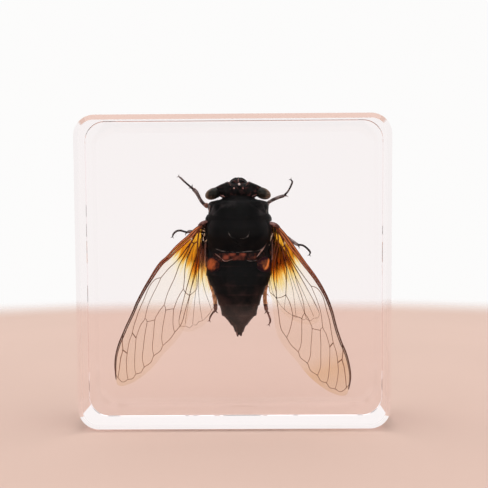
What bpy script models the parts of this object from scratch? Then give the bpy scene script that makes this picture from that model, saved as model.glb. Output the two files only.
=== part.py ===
"""A black cicada cast in a square block of clear resin that stands on its edge.

The block stands on the ground plane with its broad faces square to Y. The cicada is inside it, head up, with
its back towards -Y. The block is parted in two at the level of the wings, and a pocket in the two halves
holds the cicada. Outlines are written in millimetres and scaled by MM where a mesh is made.
"""

import math
from collections import Counter, namedtuple

import bmesh
import bpy
from mathutils import Matrix, Vector
from mathutils.geometry import delaunay_2d_cdt

MM = 0.001

# The resin block.
BLOCK_WIDTH = 75.0
BLOCK_HEIGHT = 75.0
BLOCK_DEPTH = 25.0
CORNER_RADIUS = 5.0
EDGE_RADIUS = 1.0
CORNER_STEPS = 6
EDGE_STEPS = 3
PARTING_GAP = 0.3

# The cicada's place in the block, and the room left round it.
AXIS_X = 1.2
HEAD_TOP = 60.4
ABDOMEN_TIP = 21.4
PIECE_GAP = 0.45
POCKET_ROOM = 0.65
EXTRAS_ROOM = 1.25
POCKET_SIDES = 14
POCKET_HEIGHTS = [61.2, 59.8, 58.6, 57.2, 55.2, 52.0, 49.0, 45.0, 41.0, 37.5, 34.0, 30.5, 27.2, 24.2, 20.8]
SIZE_STEPS = 12

# Half the body's width at heights on its axis, from the front of the head to the tip of the abdomen.
BODY_WIDTHS = [
    (HEAD_TOP, 0.3), (60.0, 1.3), (59.45, 2.0), (59.05, 3.4), (58.2, 5.4), (57.6, 6.3), (56.9, 6.2),
    (56.3, 5.2), (55.7, 4.0), (55.2, 4.3), (54.8, 6.0), (54.4, 7.0), (53.4, 7.25), (52.2, 7.2),
    (51.3, 7.6), (50.5, 8.05), (49.8, 7.7), (48.4, 7.95), (46.2, 8.0), (43.6, 7.75), (41.0, 7.8),
    (39.4, 7.95), (37.6, 7.85), (35.1, 7.3), (32.2, 6.3), (29.7, 5.3), (27.7, 4.65), (26.75, 4.25),
    (26.2, 3.6), (24.3, 2.0), (22.6, 0.95), (ABDOMEN_TIP, 0.35),
]

# Depth of the back (towards -Y) and of the belly (towards +Y) at heights on the axis.
BACK_LINE = [
    (HEAD_TOP, 0.7), (59.4, -1.2), (58.3, -2.4), (56.4, -3.2), (55.4, -3.3), (54.4, -4.0), (52.0, -5.1),
    (50.4, -5.75), (49.6, -5.2), (46.0, -5.0), (43.0, -4.4), (40.8, -4.3), (39.3, -4.7), (37.5, -5.2),
    (33.5, -5.1), (29.7, -4.4), (26.8, -3.5), (24.3, -1.9), (22.4, -0.4), (ABDOMEN_TIP, 0.4),
]
BELLY_LINE = [
    (HEAD_TOP, 1.3), (59.6, 3.2), (58.4, 4.6), (56.6, 5.3), (55.4, 4.9), (53.5, 5.6), (50.0, 6.3),
    (46.0, 6.6), (41.5, 6.6), (38.0, 6.2), (33.5, 5.6), (29.7, 4.8), (26.7, 3.9), (24.2, 2.8),
    (22.4, 1.7), (ABDOMEN_TIP, 1.1),
]
BODY_SIDES = 20
SECTION_POWER = 2.25

# Hind rims of the abdomen's rings. Each stands a little over the next ring, and fades towards the head.
RING_RIMS = [39.3, 36.9, 34.5, 32.2, 29.6, 26.7, 24.2]
RIM_STEP = 0.16
RIM_FADE = 1.4
RIM_DROP = 0.12
RIM_CLEARANCE = 0.3

# The eyes: place out from the axis, half sizes, and how far the outer end droops.
EYE_OUT = 6.25
EYE_DEPTH = 0.7
EYE_HEIGHT = 56.45
EYE_HALF_SIZE = (2.05, 1.95, 1.45)
EYE_DROOP = math.radians(18)
EYE_DETAIL = 12

# The shield on the middle of the thorax, and the raised cross at its hind end.
SHIELD_CENTRE = (-2.4, 46.6)
SHIELD_HALF_SIZE = (7.35, 3.9, 4.6)
SHIELD_FULLNESS = 0.5
SHIELD_DETAIL = 18
CROSS_FRONT = (1.9, -6.0, 45.3)
CROSS_MIDDLE = (-5.95, 43.9)
CROSS_HIND = (2.1, -5.2, 42.5)
CROSS_RADII = [0.3, 0.45, 0.3]
CROSS_SIDES = 5

# The beak under the head, which lies back along the belly.
BEAK_LINE = [(57.2, 4.9), (54.6, 6.3), (51.6, 7.1), (48.4, 7.6)]
BEAK_RADII = [1.1, 0.85, 0.6, 0.22]
BEAK_SIDES = 7

# The belly's two sound flaps behind the hind legs.
FLAP_OUT = 3.2
FLAP_DEPTH = 6.0
FLAP_HEIGHT = 38.3
FLAP_HALF_SIZE = (2.7, 1.0, 2.9)
FLAP_TURN = math.radians(20)
FLAP_DETAIL = 10

Wing = namedtuple("Wing", "base_out base_height base_depth sweep span chord lift bow")

# Where the wings join the body and how they lie. sweep is the angle out from straight down, span and chord
# scale the outline, and lift and bow are the depth gained by the tip and by the middle of the wing.
FOREWINGS = {
    "left_forewing": Wing(8.7, 49.1, -0.9, math.radians(28.0), 0.98, 0.87, 0.5, -0.4),
    "right_forewing": Wing(8.8, 49.1, -0.9, math.radians(23.3), 1.0, 1.0, 0.5, -0.4),
}
HINDWINGS = {
    "left_hindwing": Wing(8.5, 46.9, 0.6, math.radians(15.9), 1.0, 1.0, 0.3, 0.2),
    "right_hindwing": Wing(8.5, 46.9, 0.6, math.radians(29.5), 1.0, 1.0, 0.3, 0.2),
}

# Thickness of the membrane, how far the veins stand out of it, and how far apart the points on them lie.
MEMBRANE = 0.3
VEIN_RISE = 0.22
EDGE_VEIN_RISE = 0.32
VEIN_HALF_WIDTH = 0.3
MARGIN_STEP = 2.2
VEIN_STEP = 3.0
SHOULDER_REACH = 0.28
ON_LINE = 0.01
MERGE_DISTANCE = 0.0001
FILL_INSIDE = 1

# Room for the wings in the halves, ahead of a wing and behind it.
WING_ROOM = 0.95
WING_SHALLOW = 0.6
WING_POCKET_STEPS = 8
REACH_STEPS = 4

# Forewing, along the wing and across it towards its front edge, for the full-size right wing.
FOREWING_FRONT = [
    (0.0, 0.0), (3.2, 1.0), (6.5, 1.9), (10.5, 3.1), (14.3, 4.2), (18.0, 4.8), (21.7, 5.0), (26.0, 4.8),
    (30.5, 4.3), (35.0, 3.9), (39.0, 3.3), (42.2, 2.4), (44.6, 1.3),
]
FOREWING_REAR = [
    (46.0, 0.0), (45.7, -1.5), (44.0, -3.4), (41.5, -5.1), (38.5, -6.5), (34.0, -7.9), (30.3, -9.1),
    (27.0, -9.8), (24.0, -9.6), (20.6, -8.8), (17.2, -7.9), (13.0, -6.9), (10.1, -5.5), (6.8, -3.9),
    (3.4, -2.4), (0.4, -1.3),
]
FOREWING_VEINS = {
    "stem": [(1.6, -0.5), (6.5, 0.0), (10.4, 0.5), (14.7, 1.6), (18.0, 2.4), (19.3, 3.6), (21.7, 4.4)],
    "radius": [(21.7, 4.4), (25.1, 3.4), (29.7, 2.5), (32.9, 1.8), (37.9, 1.0), (42.2, -1.0), (43.6, -2.1)],
    "tip": [(34.3, 3.4), (37.5, 2.1), (42.2, 1.2), (44.4, 0.6)],
    "tip_cross": [(37.5, 2.1), (37.9, 1.0)],
    "middle_front": [(18.0, 2.4), (22.7, 2.2), (28.4, 1.0), (33.5, 0.7), (38.2, -1.4), (41.4, -3.5)],
    "radial_cross": [(33.5, 0.7), (32.9, 1.8)],
    "second_apical": [(28.4, 1.0), (28.8, 0.2), (35.0, -2.3), (38.8, -4.8)],
    "middle_cross": [(28.8, 0.2), (27.6, -1.5)],
    "middle_rear": [(6.5, 0.0), (12.0, -0.2), (18.5, -0.8), (23.5, -1.7), (27.6, -1.5), (35.1, -5.9)],
    "fourth_apical": [(23.5, -1.7), (24.4, -2.8), (28.2, -4.5), (31.6, -6.9)],
    "rear_cross": [(24.4, -2.8), (22.8, -4.6)],
    "elbow": [(4.8, -1.1), (9.8, -1.4), (13.9, -2.6), (17.5, -4.2), (22.8, -4.6), (27.3, -8.1)],
    "elbow_cross": [(17.5, -4.2), (17.4, -6.6)],
    "fold": [(1.6, -0.5), (4.5, -1.8), (10.0, -4.6), (17.4, -6.6), (24.6, -8.5), (27.3, -8.1)],
    "border": [
        (27.3, -8.1), (31.6, -6.9), (35.1, -5.9), (38.8, -4.8), (41.4, -3.5), (43.6, -2.1), (44.8, -0.5),
        (44.4, 0.6),
    ],
}

# Hindwing, in the same way.
HINDWING_FRONT = [(0.6, 0.0), (4.8, 0.5), (9.5, 0.8), (14.5, 0.8), (19.1, 0.7), (22.3, 0.5)]
HINDWING_REAR = [
    (23.9, -0.1), (24.6, -1.3), (24.5, -2.8), (23.4, -4.5), (21.7, -6.0), (19.7, -7.1), (17.3, -7.8),
    (14.8, -8.1), (12.5, -7.9), (10.0, -6.9), (6.9, -4.9), (3.8, -2.7), (1.4, -1.1),
]
HINDWING_VEINS = {
    "front": [(1.4, -0.4), (8.0, -0.2), (14.0, -0.5), (19.5, -1.0), (22.9, -1.4)],
    "middle": [(8.0, -0.2), (12.5, -1.6), (17.5, -2.6), (22.4, -3.2)],
    "middle_rear": [(12.5, -1.6), (15.5, -3.8), (21.0, -5.0)],
    "elbow": [(1.4, -0.4), (6.0, -1.5), (10.5, -3.4), (15.0, -5.2), (19.2, -6.2)],
    "fold": [(1.4, -0.4), (6.0, -2.4), (10.5, -5.0), (14.8, -7.2)],
    "border": [(22.9, -1.4), (22.4, -3.2), (21.0, -5.0), (19.2, -6.2), (14.8, -7.2)],
}

# Legs, from the hip to the claws: out from the axis, depth, height and radius at each joint of the limb.
LEGS = {
    "left_foreleg": [
        (2.5, 6.5, 54.2, 0.85), (3.1, 7.6, 52.5, 0.85), (3.7, 8.1, 51.4, 0.5), (5.2, 7.8, 51.9, 0.85),
        (7.0, 6.9, 52.8, 0.42), (9.4, 5.4, 55.2, 0.36), (11.7, 4.2, 57.8, 0.36), (12.3, 4.0, 58.4, 0.24),
        (13.6, 3.6, 59.8, 0.2), (14.6, 3.2, 60.7, 0.13),
    ],
    "right_foreleg": [
        (2.5, 6.5, 54.2, 0.85), (3.1, 7.6, 52.5, 0.85), (3.7, 8.1, 51.4, 0.5), (5.1, 7.8, 51.9, 0.85),
        (6.8, 6.9, 52.9, 0.42), (9.0, 5.5, 55.0, 0.36), (11.3, 4.5, 56.0, 0.36), (12.0, 4.2, 56.8, 0.24),
        (12.8, 3.8, 58.1, 0.22), (13.4, 3.5, 59.4, 0.18), (13.1, 3.3, 60.1, 0.13),
    ],
    "left_midleg": [
        (3.0, 7.2, 48.6, 0.85), (3.8, 8.3, 47.0, 0.85), (4.6, 8.8, 45.9, 0.5), (6.5, 8.2, 46.6, 0.8),
        (9.0, 7.1, 47.5, 0.42), (10.6, 6.4, 47.2, 0.32), (12.6, 5.6, 46.8, 0.34), (13.2, 5.3, 46.9, 0.24),
        (14.9, 4.7, 47.25, 0.2), (15.8, 4.4, 47.0, 0.18), (16.4, 4.2, 45.9, 0.12),
    ],
    "right_midleg": [
        (3.0, 7.2, 48.6, 0.85), (3.8, 8.3, 47.0, 0.85), (4.6, 8.8, 45.9, 0.5), (6.4, 8.2, 46.5, 0.8),
        (8.8, 7.1, 47.3, 0.42), (10.4, 6.5, 46.6, 0.32), (14.2, 5.1, 44.2, 0.34), (14.9, 4.9, 43.9, 0.24),
        (16.3, 4.5, 43.3, 0.2), (17.7, 4.2, 41.8, 0.13),
    ],
    "left_hindleg": [
        (2.9, 7.4, 43.8, 0.85), (3.8, 8.5, 42.2, 0.85), (4.4, 8.8, 41.0, 0.5), (5.8, 8.6, 39.6, 0.75),
        (7.4, 7.9, 37.6, 0.42), (6.8, 7.6, 35.4, 0.32), (6.3, 7.3, 32.3, 0.33), (5.9, 6.6, 28.1, 0.38),
        (6.1, 6.4, 27.5, 0.24), (6.9, 6.0, 26.3, 0.2), (7.2, 5.7, 25.1, 0.13),
    ],
    "right_hindleg": [
        (2.9, 7.4, 43.8, 0.85), (3.8, 8.5, 42.2, 0.85), (4.4, 8.8, 41.0, 0.5), (5.8, 8.6, 39.6, 0.75),
        (7.4, 7.9, 37.7, 0.42), (6.9, 7.6, 35.4, 0.32), (6.7, 7.3, 32.1, 0.33), (7.0, 6.6, 27.6, 0.38),
        (7.25, 6.4, 27.0, 0.24), (8.0, 6.0, 25.5, 0.2), (7.8, 5.7, 24.2, 0.13),
    ],
}
LEG_SIDES = 6
LEG_ROOM = 0.8
LEG_POCKET_SIDES = 5
LEG_POCKET_JOINTS = (0, 2, 4, 6, 8, -1)

SHARP_ANGLE = 30

RESIN_COLOUR = (0.95, 0.92, 0.90, 1.0)
SHELL_COLOUR = (0.012, 0.011, 0.011, 1.0)
FOREWING_COLOUR = (0.62, 0.42, 0.22, 1.0)
HINDWING_COLOUR = (0.70, 0.52, 0.34, 1.0)
LEG_COLOUR = (0.05, 0.03, 0.022, 1.0)


def clear_scene():
    """Remove every object that the file starts with."""
    for old in list(bpy.data.objects):
        bpy.data.objects.remove(old, do_unlink=True)


def make_material(name, colour, roughness, alpha=1.0, transmission=0.0):
    """A plain Principled material."""
    material = bpy.data.materials.new(name)
    material.use_nodes = True
    shader = material.node_tree.nodes["Principled BSDF"]
    shader.inputs["Base Color"].default_value = colour
    shader.inputs["Roughness"].default_value = roughness
    shader.inputs["Metallic"].default_value = 0.0
    shader.inputs["Alpha"].default_value = alpha
    shader.inputs["Transmission Weight"].default_value = transmission
    return material


def add_object(name, mesh, material):
    """Link a mesh to the scene as one named piece."""
    piece = bpy.data.objects.new(name, mesh)
    mesh.materials.append(material)
    bpy.context.scene.collection.objects.link(piece)
    return piece


def add_tool(name, mesh):
    """Link a mesh that only shapes another piece."""
    tool = bpy.data.objects.new(name, mesh)
    bpy.context.scene.collection.objects.link(tool)
    tool.hide_render = True
    tool.display_type = "WIRE"
    return tool


def combine(piece, tools, operation):
    """Cut the tools from a piece, or fuse them to it."""
    for tool in tools:
        modifier = piece.modifiers.new(tool.name, "BOOLEAN")
        modifier.operation = operation
        modifier.solver = "EXACT"
        modifier.object = tool


def finish_mesh(mesh_builder, name):
    """Turn a bmesh into a smooth mesh of triangles that all point out."""
    bmesh.ops.triangulate(mesh_builder, faces=mesh_builder.faces)
    bmesh.ops.recalc_face_normals(mesh_builder, faces=mesh_builder.faces)
    mesh = bpy.data.meshes.new(name)
    mesh_builder.to_mesh(mesh)
    mesh_builder.free()
    mesh.shade_smooth()
    mesh.set_sharp_from_angle(angle=math.radians(SHARP_ANGLE))
    return mesh


def loft(name, rings):
    """Join rings of points, all of one length, into a closed tube with flat ends."""
    builder = bmesh.new()
    loops = [[builder.verts.new(Vector(point) * MM) for point in ring] for ring in rings]
    count = len(loops[0])
    for lower, upper in zip(loops, loops[1:]):
        for i in range(count):
            j = (i + 1) % count
            builder.faces.new((lower[i], lower[j], upper[j], upper[i]))
    builder.faces.new(loops[0][::-1])
    builder.faces.new(loops[-1])
    return finish_mesh(builder, name)


def curve_value(points, height):
    """The value at a height on a smooth line through (height, value) points that run downwards."""
    if height >= points[0][0]:
        return points[0][1]
    for i in range(len(points) - 1):
        (top, a), (bottom, b) = points[i], points[i + 1]
        if height >= bottom:
            before = points[max(i - 1, 0)]
            after = points[min(i + 2, len(points) - 1)]
            run = bottom - top
            start = (b - before[1]) / (bottom - before[0]) if before[0] != bottom else 0.0
            end = (after[1] - a) / (after[0] - top) if after[0] != top else 0.0
            t = (height - top) / run
            rise = 3 * t ** 2 - 2 * t ** 3
            bend = start * run * (t ** 3 - 2 * t ** 2 + t) + end * run * (t ** 3 - t ** 2)
            return a + (b - a) * rise + bend
    return points[-1][1]


def mirrored_x(side, out):
    """The world X of a distance out from the body's axis, with side -1 for left and 1 for right."""
    return AXIS_X + side * out


def side_of(name):
    """-1 for a piece of the left side and 1 for one of the right side."""
    return -1 if name.startswith("left") else 1


def rounded_square(inset):
    """The block's outline in X and Z, drawn in by an inset, as a list of points."""
    half_width = BLOCK_WIDTH / 2 - inset
    half_height = BLOCK_HEIGHT / 2 - inset
    radius = CORNER_RADIUS - inset
    points = []
    for quarter in range(4):
        turn = math.radians(90 * quarter)
        sign_x = 1 if quarter in (0, 3) else -1
        sign_z = 1 if quarter in (0, 1) else -1
        for step in range(CORNER_STEPS + 1):
            angle = turn + math.radians(90) * step / CORNER_STEPS
            x = sign_x * (half_width - radius) + radius * math.cos(angle)
            z = sign_z * (half_height - radius) + radius * math.sin(angle)
            points.append((x, z + BLOCK_HEIGHT / 2))
    return points


def resin_half(name, side, pockets, material):
    """One half of the block: side -1 is the front half and 1 the back half."""
    levels = [(PARTING_GAP / 2, 0.0)]
    for step in range(EDGE_STEPS + 1):
        angle = math.radians(90) * step / EDGE_STEPS
        depth = BLOCK_DEPTH / 2 - EDGE_RADIUS * (1 - math.sin(angle))
        levels.append((depth, EDGE_RADIUS * (1 - math.cos(angle))))
    rings = [[(x, side * depth, z) for x, z in rounded_square(inset)] for depth, inset in levels]
    half = add_object(name, loft(name, rings), material)
    combine(half, pockets, "DIFFERENCE")
    return half


def rim_rise(height):
    """How far the abdomen's rings stand over the plain body line at a height."""
    for rim in RING_RIMS:
        if rim <= height < rim + RIM_FADE:
            return RIM_STEP * (1 - (height - rim) / RIM_FADE)
    return 0.0


def body_size(height):
    """Half the width of the body, the depth of its back and the depth of its belly, at a height."""
    lines = (BODY_WIDTHS, BACK_LINE, BELLY_LINE)
    half_width, back, belly = (curve_value(line, height) for line in lines)
    return half_width, back, belly


def section_ring(size, sides, grown):
    """Points round a section of the body of some size, grown all round, as (X, depth)."""
    half_width, back, belly = size
    middle = (back + belly) / 2
    half_depth = (belly - back) / 2 + grown
    ring = []
    for i in range(sides):
        angle = 2 * math.pi * i / sides
        c, s = math.cos(angle), math.sin(angle)
        x = math.copysign(abs(c) ** (2 / SECTION_POWER), c) * (half_width + grown)
        y = math.copysign(abs(s) ** (2 / SECTION_POWER), s) * half_depth
        ring.append((AXIS_X + x, middle + y))
    return ring


def body_heights():
    """Heights of the body's rings: every point of its width line, and both sides of each abdomen rim."""
    heights = {round(height, 3) for height, _ in BODY_WIDTHS}
    for rim in RING_RIMS:
        heights = {height for height in heights if abs(height - rim) > RIM_CLEARANCE}
        heights |= {round(rim, 3), round(rim - RIM_DROP, 3)}
    return sorted(heights, reverse=True)


def ellipsoid(name, centre, half_size, tilt, detail, fullness=1.0):
    """An egg shape, turned about Y by a tilt. A fullness under 1 keeps it deep nearly to its rim."""
    builder = bmesh.new()
    bmesh.ops.create_uvsphere(builder, u_segments=detail, v_segments=detail // 2 + 1, radius=1.0)
    for vert in builder.verts:
        vert.co.y = math.copysign(abs(vert.co.y) ** fullness, vert.co.y)
    stretch = Matrix.Diagonal(Vector(half_size) * MM).to_4x4()
    turn = Matrix.Rotation(tilt, 4, "Y")
    bmesh.ops.transform(builder, matrix=turn @ stretch, verts=builder.verts)
    bmesh.ops.translate(builder, vec=Vector(centre) * MM, verts=builder.verts)
    return finish_mesh(builder, name)


def tube(name, points, radii, sides, room=0.0):
    """A tube through points with a radius at each, grown all round and at its ends by some room."""
    centres = [Vector(point) for point in points]
    rings = []
    for i, centre in enumerate(centres):
        before = centres[max(i - 1, 0)]
        after = centres[min(i + 1, len(centres) - 1)]
        way = ((centre - before).normalized() + (after - centre).normalized()).normalized()
        across = way.cross(Vector((0.0, 1.0, 0.0)))
        if across.length < 0.1:
            across = way.cross(Vector((1.0, 0.0, 0.0)))
        across.normalize()
        up = across.cross(way)
        if i == 0:
            centre = centre - way * room
        if i == len(centres) - 1:
            centre = centre + way * room
        ring = []
        for k in range(sides):
            angle = 2 * math.pi * k / sides
            ring.append(centre + (across * math.cos(angle) + up * math.sin(angle)) * (radii[i] + room))
        rings.append(ring)
    return loft(name, rings)


def cross_arms():
    """The two bars of the raised cross on the shield, as fusing tools."""
    depth, height = CROSS_MIDDLE
    tools = []
    for side, label in ((-1, "left"), (1, "right")):
        points = [
            (mirrored_x(side, CROSS_FRONT[0]), CROSS_FRONT[1], CROSS_FRONT[2]),
            (AXIS_X, depth, height),
            (mirrored_x(-side, CROSS_HIND[0]), CROSS_HIND[1], CROSS_HIND[2]),
        ]
        name = label + "_cross_arm"
        tools.append(add_tool(name, tube(name, points, CROSS_RADII, CROSS_SIDES)))
    return tools


def body_extras(ending, room, coarseness):
    """The eyes, sound flaps, shield and beak, grown by some room, as tools that are fused or cut."""
    tools = []
    for side, label in ((-1, "left"), (1, "right")):
        name = label + "_eye" + ending
        centre = (mirrored_x(side, EYE_OUT), EYE_DEPTH, EYE_HEIGHT)
        half_size = [half + room for half in EYE_HALF_SIZE]
        eye = ellipsoid(name, centre, half_size, side * EYE_DROOP, EYE_DETAIL // coarseness)
        tools.append(add_tool(name, eye))
        name = label + "_flap" + ending
        centre = (mirrored_x(side, FLAP_OUT), FLAP_DEPTH, FLAP_HEIGHT)
        half_size = [half + room for half in FLAP_HALF_SIZE]
        flap = ellipsoid(name, centre, half_size, side * FLAP_TURN, FLAP_DETAIL // coarseness)
        tools.append(add_tool(name, flap))
    name = "shield" + ending
    centre = (AXIS_X, SHIELD_CENTRE[0], SHIELD_CENTRE[1])
    half_size = [half + room for half in SHIELD_HALF_SIZE]
    shield = ellipsoid(name, centre, half_size, 0.0, SHIELD_DETAIL // coarseness, SHIELD_FULLNESS)
    tools.append(add_tool(name, shield))
    points = [(AXIS_X, depth, height) for height, depth in BEAK_LINE]
    name = "beak" + ending
    tools.append(add_tool(name, tube(name, points, BEAK_RADII, BEAK_SIDES, room)))
    return tools


def cicada_body(material):
    """Head, thorax and abdomen, grown as one, with all that stands out of them."""
    rings = []
    for height in body_heights():
        ring = section_ring(body_size(height), BODY_SIDES, rim_rise(height))
        rings.append([(x, y, height) for x, y in ring])
    body = add_object("cicada_body", loft("cicada_body", rings), material)
    combine(body, body_extras("", 0.0, 1) + cross_arms(), "UNION")
    return body


def smooth_points(points, step):
    """Points about one step apart on a smooth curve through the given points."""
    knots = [Vector(point) for point in points]
    if len(knots) == 2:
        return knots
    result = [knots[0]]
    for i in range(len(knots) - 1):
        a, b = knots[i], knots[i + 1]
        before = knots[i - 1] if i else a * 2 - b
        after = knots[i + 2] if i + 2 < len(knots) else b * 2 - a
        parts = max(1, round((b - a).length / step))
        for k in range(1, parts + 1):
            t = k / parts
            turn = before * 2 - a * 5 + b * 4 - after
            twist = a * 3 - before - b * 3 + after
            point = (a * 2 + (b - before) * t + turn * t ** 2 + twist * t ** 3) * 0.5
            result.append(point)
    return result


def shoulder_points(line, side):
    """Points beside each point of a vein, on one side, at half its width."""
    shoulders = []
    for i, point in enumerate(line):
        way = line[min(i + 1, len(line) - 1)] - line[max(i - 1, 0)]
        across = Vector((-way.y, way.x)).normalized()
        shoulders.append(point + across * side * VEIN_HALF_WIDTH)
    return shoulders


def distance_to_line(point, line):
    """The distance from a point to the nearest run of a line."""
    best = math.inf
    for a, b in zip(line, line[1:]):
        run = b - a
        t = max(0.0, min(1.0, (point - a).dot(run) / run.length_squared))
        best = min(best, (point - (a + run * t)).length)
    return best


def wing_depth(wing, share):
    """The depth of the middle of a wing at a share of its length."""
    return wing.base_depth + wing.lift * share + wing.bow * math.sin(math.pi * min(share, 1.0))


def wing_spot(name, wing, flat, depth):
    """The place in the block of a point of a wing's flat outline, at a depth."""
    along = flat[0] * wing.span
    across = flat[1] * (wing.chord if flat[1] < 0 else 1.0)
    out = wing.base_out + along * math.sin(wing.sweep) + across * math.cos(wing.sweep)
    height = wing.base_height - along * math.cos(wing.sweep) + across * math.sin(wing.sweep)
    return Vector((mirrored_x(side_of(name), out), depth, height))


def off_flank(name, spot):
    """A place moved out, where it has to be, to stand clear of the body's flank."""
    side = side_of(name)
    out = max(side * (spot.x - AXIS_X), body_size(spot.z)[0] + PIECE_GAP)
    return Vector((mirrored_x(side, out), spot.y, spot.z))


def vein_shoulders(lines, outline):
    """Runs of points along the feet of the veins' ridges, where they keep clear of every other line."""
    runs = []
    for line in lines:
        for side in (-1, 1):
            runs.append([])
            for shoulder in shoulder_points(line, side):
                clear = min(distance_to_line(shoulder, other) for other in lines + [outline])
                if clear > SHOULDER_REACH:
                    runs[-1].append(shoulder)
                else:
                    runs.append([])
    return [run for run in runs if run]


def wing_plan(outline, lines):
    """Flat points and triangles that fill a wing's outline and follow its veins."""
    points = list(outline)
    edges = [(i, (i + 1) % len(outline)) for i in range(len(outline))]
    for line in lines + vein_shoulders(lines, outline):
        start = len(points)
        points += line
        edges += [(start + i, start + i + 1) for i in range(len(line) - 1)]
    loop = list(range(len(outline)))
    plan = delaunay_2d_cdt(points, edges, [loop], FILL_INSIDE, MERGE_DISTANCE)
    return plan[0], plan[2]


def wing_half_thickness(flat, lines, front_edge):
    """Half the thickness of a wing at a flat point: of the membrane, a vein or the front edge."""
    thickness = MEMBRANE / 2
    if min(distance_to_line(flat, line) for line in lines) < ON_LINE:
        thickness += VEIN_RISE
    if distance_to_line(flat, front_edge) < ON_LINE:
        thickness += EDGE_VEIN_RISE
    return thickness


def wing_mesh(name, wing, front, rear, veins):
    """A closed plate with the wing's outline, a thick front edge and its veins as ridges."""
    front_edge = smooth_points(front, MARGIN_STEP)
    outline = front_edge + smooth_points([front[-1]] + rear, MARGIN_STEP)[1:]
    lines = [smooth_points(points, VEIN_STEP) for points in veins.values()]
    flats, triangles = wing_plan(outline, lines)
    builder = bmesh.new()
    layers = {-1: [], 1: []}
    for flat in flats:
        half_thickness = wing_half_thickness(flat, lines, front_edge)
        for side, layer in layers.items():
            depth = wing_depth(wing, flat[0] / rear[0][0]) + side * half_thickness
            spot = off_flank(name, wing_spot(name, wing, flat, depth))
            layer.append(builder.verts.new(spot * MM))
    uses = Counter()
    for triangle in triangles:
        builder.faces.new([layers[-1][i] for i in triangle])
        builder.faces.new([layers[1][i] for i in reversed(triangle)])
        uses.update(frozenset(pair) for pair in zip(triangle, list(triangle[1:]) + [triangle[0]]))
    for rim in [sorted(edge) for edge, count in uses.items() if count == 1]:
        front_side = [layers[-1][i] for i in rim]
        back_side = [layers[1][i] for i in reversed(rim)]
        builder.faces.new(front_side + back_side)
    return finish_mesh(builder, name)


def leg_mesh(name, joints):
    """A limb as one tapering tube through its joints."""
    side = side_of(name)
    points = [(mirrored_x(side, out), depth, height) for out, depth, height, _ in joints]
    return tube(name, points, [radius for _, _, _, radius in joints], LEG_SIDES)


def leg_pocket(name, joints):
    """The hollow for a limb, through its main joints and as wide as its widest near each."""
    points = []
    radii = []
    for place in LEG_POCKET_JOINTS:
        i = place % len(joints)
        out, depth, height, _ = joints[i]
        points.append((mirrored_x(side_of(name), out), depth, height))
        radii.append(max(radius for _, _, _, radius in joints[max(i - 1, 0):i + 2]))
    mesh = tube(name + "_pocket", points, radii, LEG_POCKET_SIDES, LEG_ROOM)
    return add_tool(name + "_pocket", mesh)


def largest_size(top, bottom):
    """The largest sizes that the body has between two heights."""
    heights = [bottom + (top - bottom) * i / SIZE_STEPS for i in range(SIZE_STEPS + 1)]
    sizes = [body_size(min(max(height, ABDOMEN_TIP), HEAD_TOP)) for height in heights]
    widths, backs, bellies = zip(*sizes)
    return max(widths), min(backs), max(bellies)


def body_pocket():
    """The hollow for the body, a plain coat that clears all of it between one height and the next."""
    rings = []
    for i, height in enumerate(POCKET_HEIGHTS):
        top = POCKET_HEIGHTS[max(i - 1, 0)]
        bottom = POCKET_HEIGHTS[min(i + 1, len(POCKET_HEIGHTS) - 1)]
        size = largest_size((top + height) / 2, (height + bottom) / 2)
        rings.append([(x, y, height) for x, y in section_ring(size, POCKET_SIDES, POCKET_ROOM)])
    return add_tool("body_pocket", loft("body_pocket", rings))


def edge_reach(points, along, window, pick):
    """The farthest that an edge of a wing reaches across, within a window along it."""
    line = sorted(points, reverse=True)
    places = [along + window * i / REACH_STEPS for i in range(-REACH_STEPS, REACH_STEPS + 1)]
    return pick(curve_value(line, place) for place in places)


def wing_pocket(name, wing, front, rear, depths):
    """The hollow for a wing, a shallow tray of its outline, between two depths at each share of its span."""
    length = rear[0][0]
    stride = (length - front[0][0]) / WING_POCKET_STEPS
    rings = []
    for step in range(WING_POCKET_STEPS + 1):
        along = front[0][0] + stride * step
        top = edge_reach(front + rear[:1], along, stride / 2, max) + POCKET_ROOM
        bottom = edge_reach(rear, along, stride / 2, min) - POCKET_ROOM
        low, high = depths(along / length)
        if step == WING_POCKET_STEPS:
            along += POCKET_ROOM * 2
        corners = [(top, low), (bottom, low), (bottom, high), (top, high)]
        rings.append([wing_spot(name, wing, (along, across), depth) for across, depth in corners])
    return add_tool(name + "_pocket", loft(name + "_pocket", rings))


def all_pockets():
    """Every hollow that the two halves share."""
    pockets = [body_pocket()] + body_extras("_pocket", EXTRAS_ROOM, 2)
    for name, wing in FOREWINGS.items():
        def depths(share, wing=wing):
            return wing_depth(wing, share) - WING_ROOM, WING_SHALLOW
        pockets.append(wing_pocket(name, wing, FOREWING_FRONT, FOREWING_REAR, depths))
    for name, wing in HINDWINGS.items():
        def depths(share, wing=wing):
            return -WING_SHALLOW, wing_depth(wing, share) + WING_ROOM
        pockets.append(wing_pocket(name, wing, HINDWING_FRONT, HINDWING_REAR, depths))
    pockets += [leg_pocket(name, joints) for name, joints in LEGS.items()]
    return pockets


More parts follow.
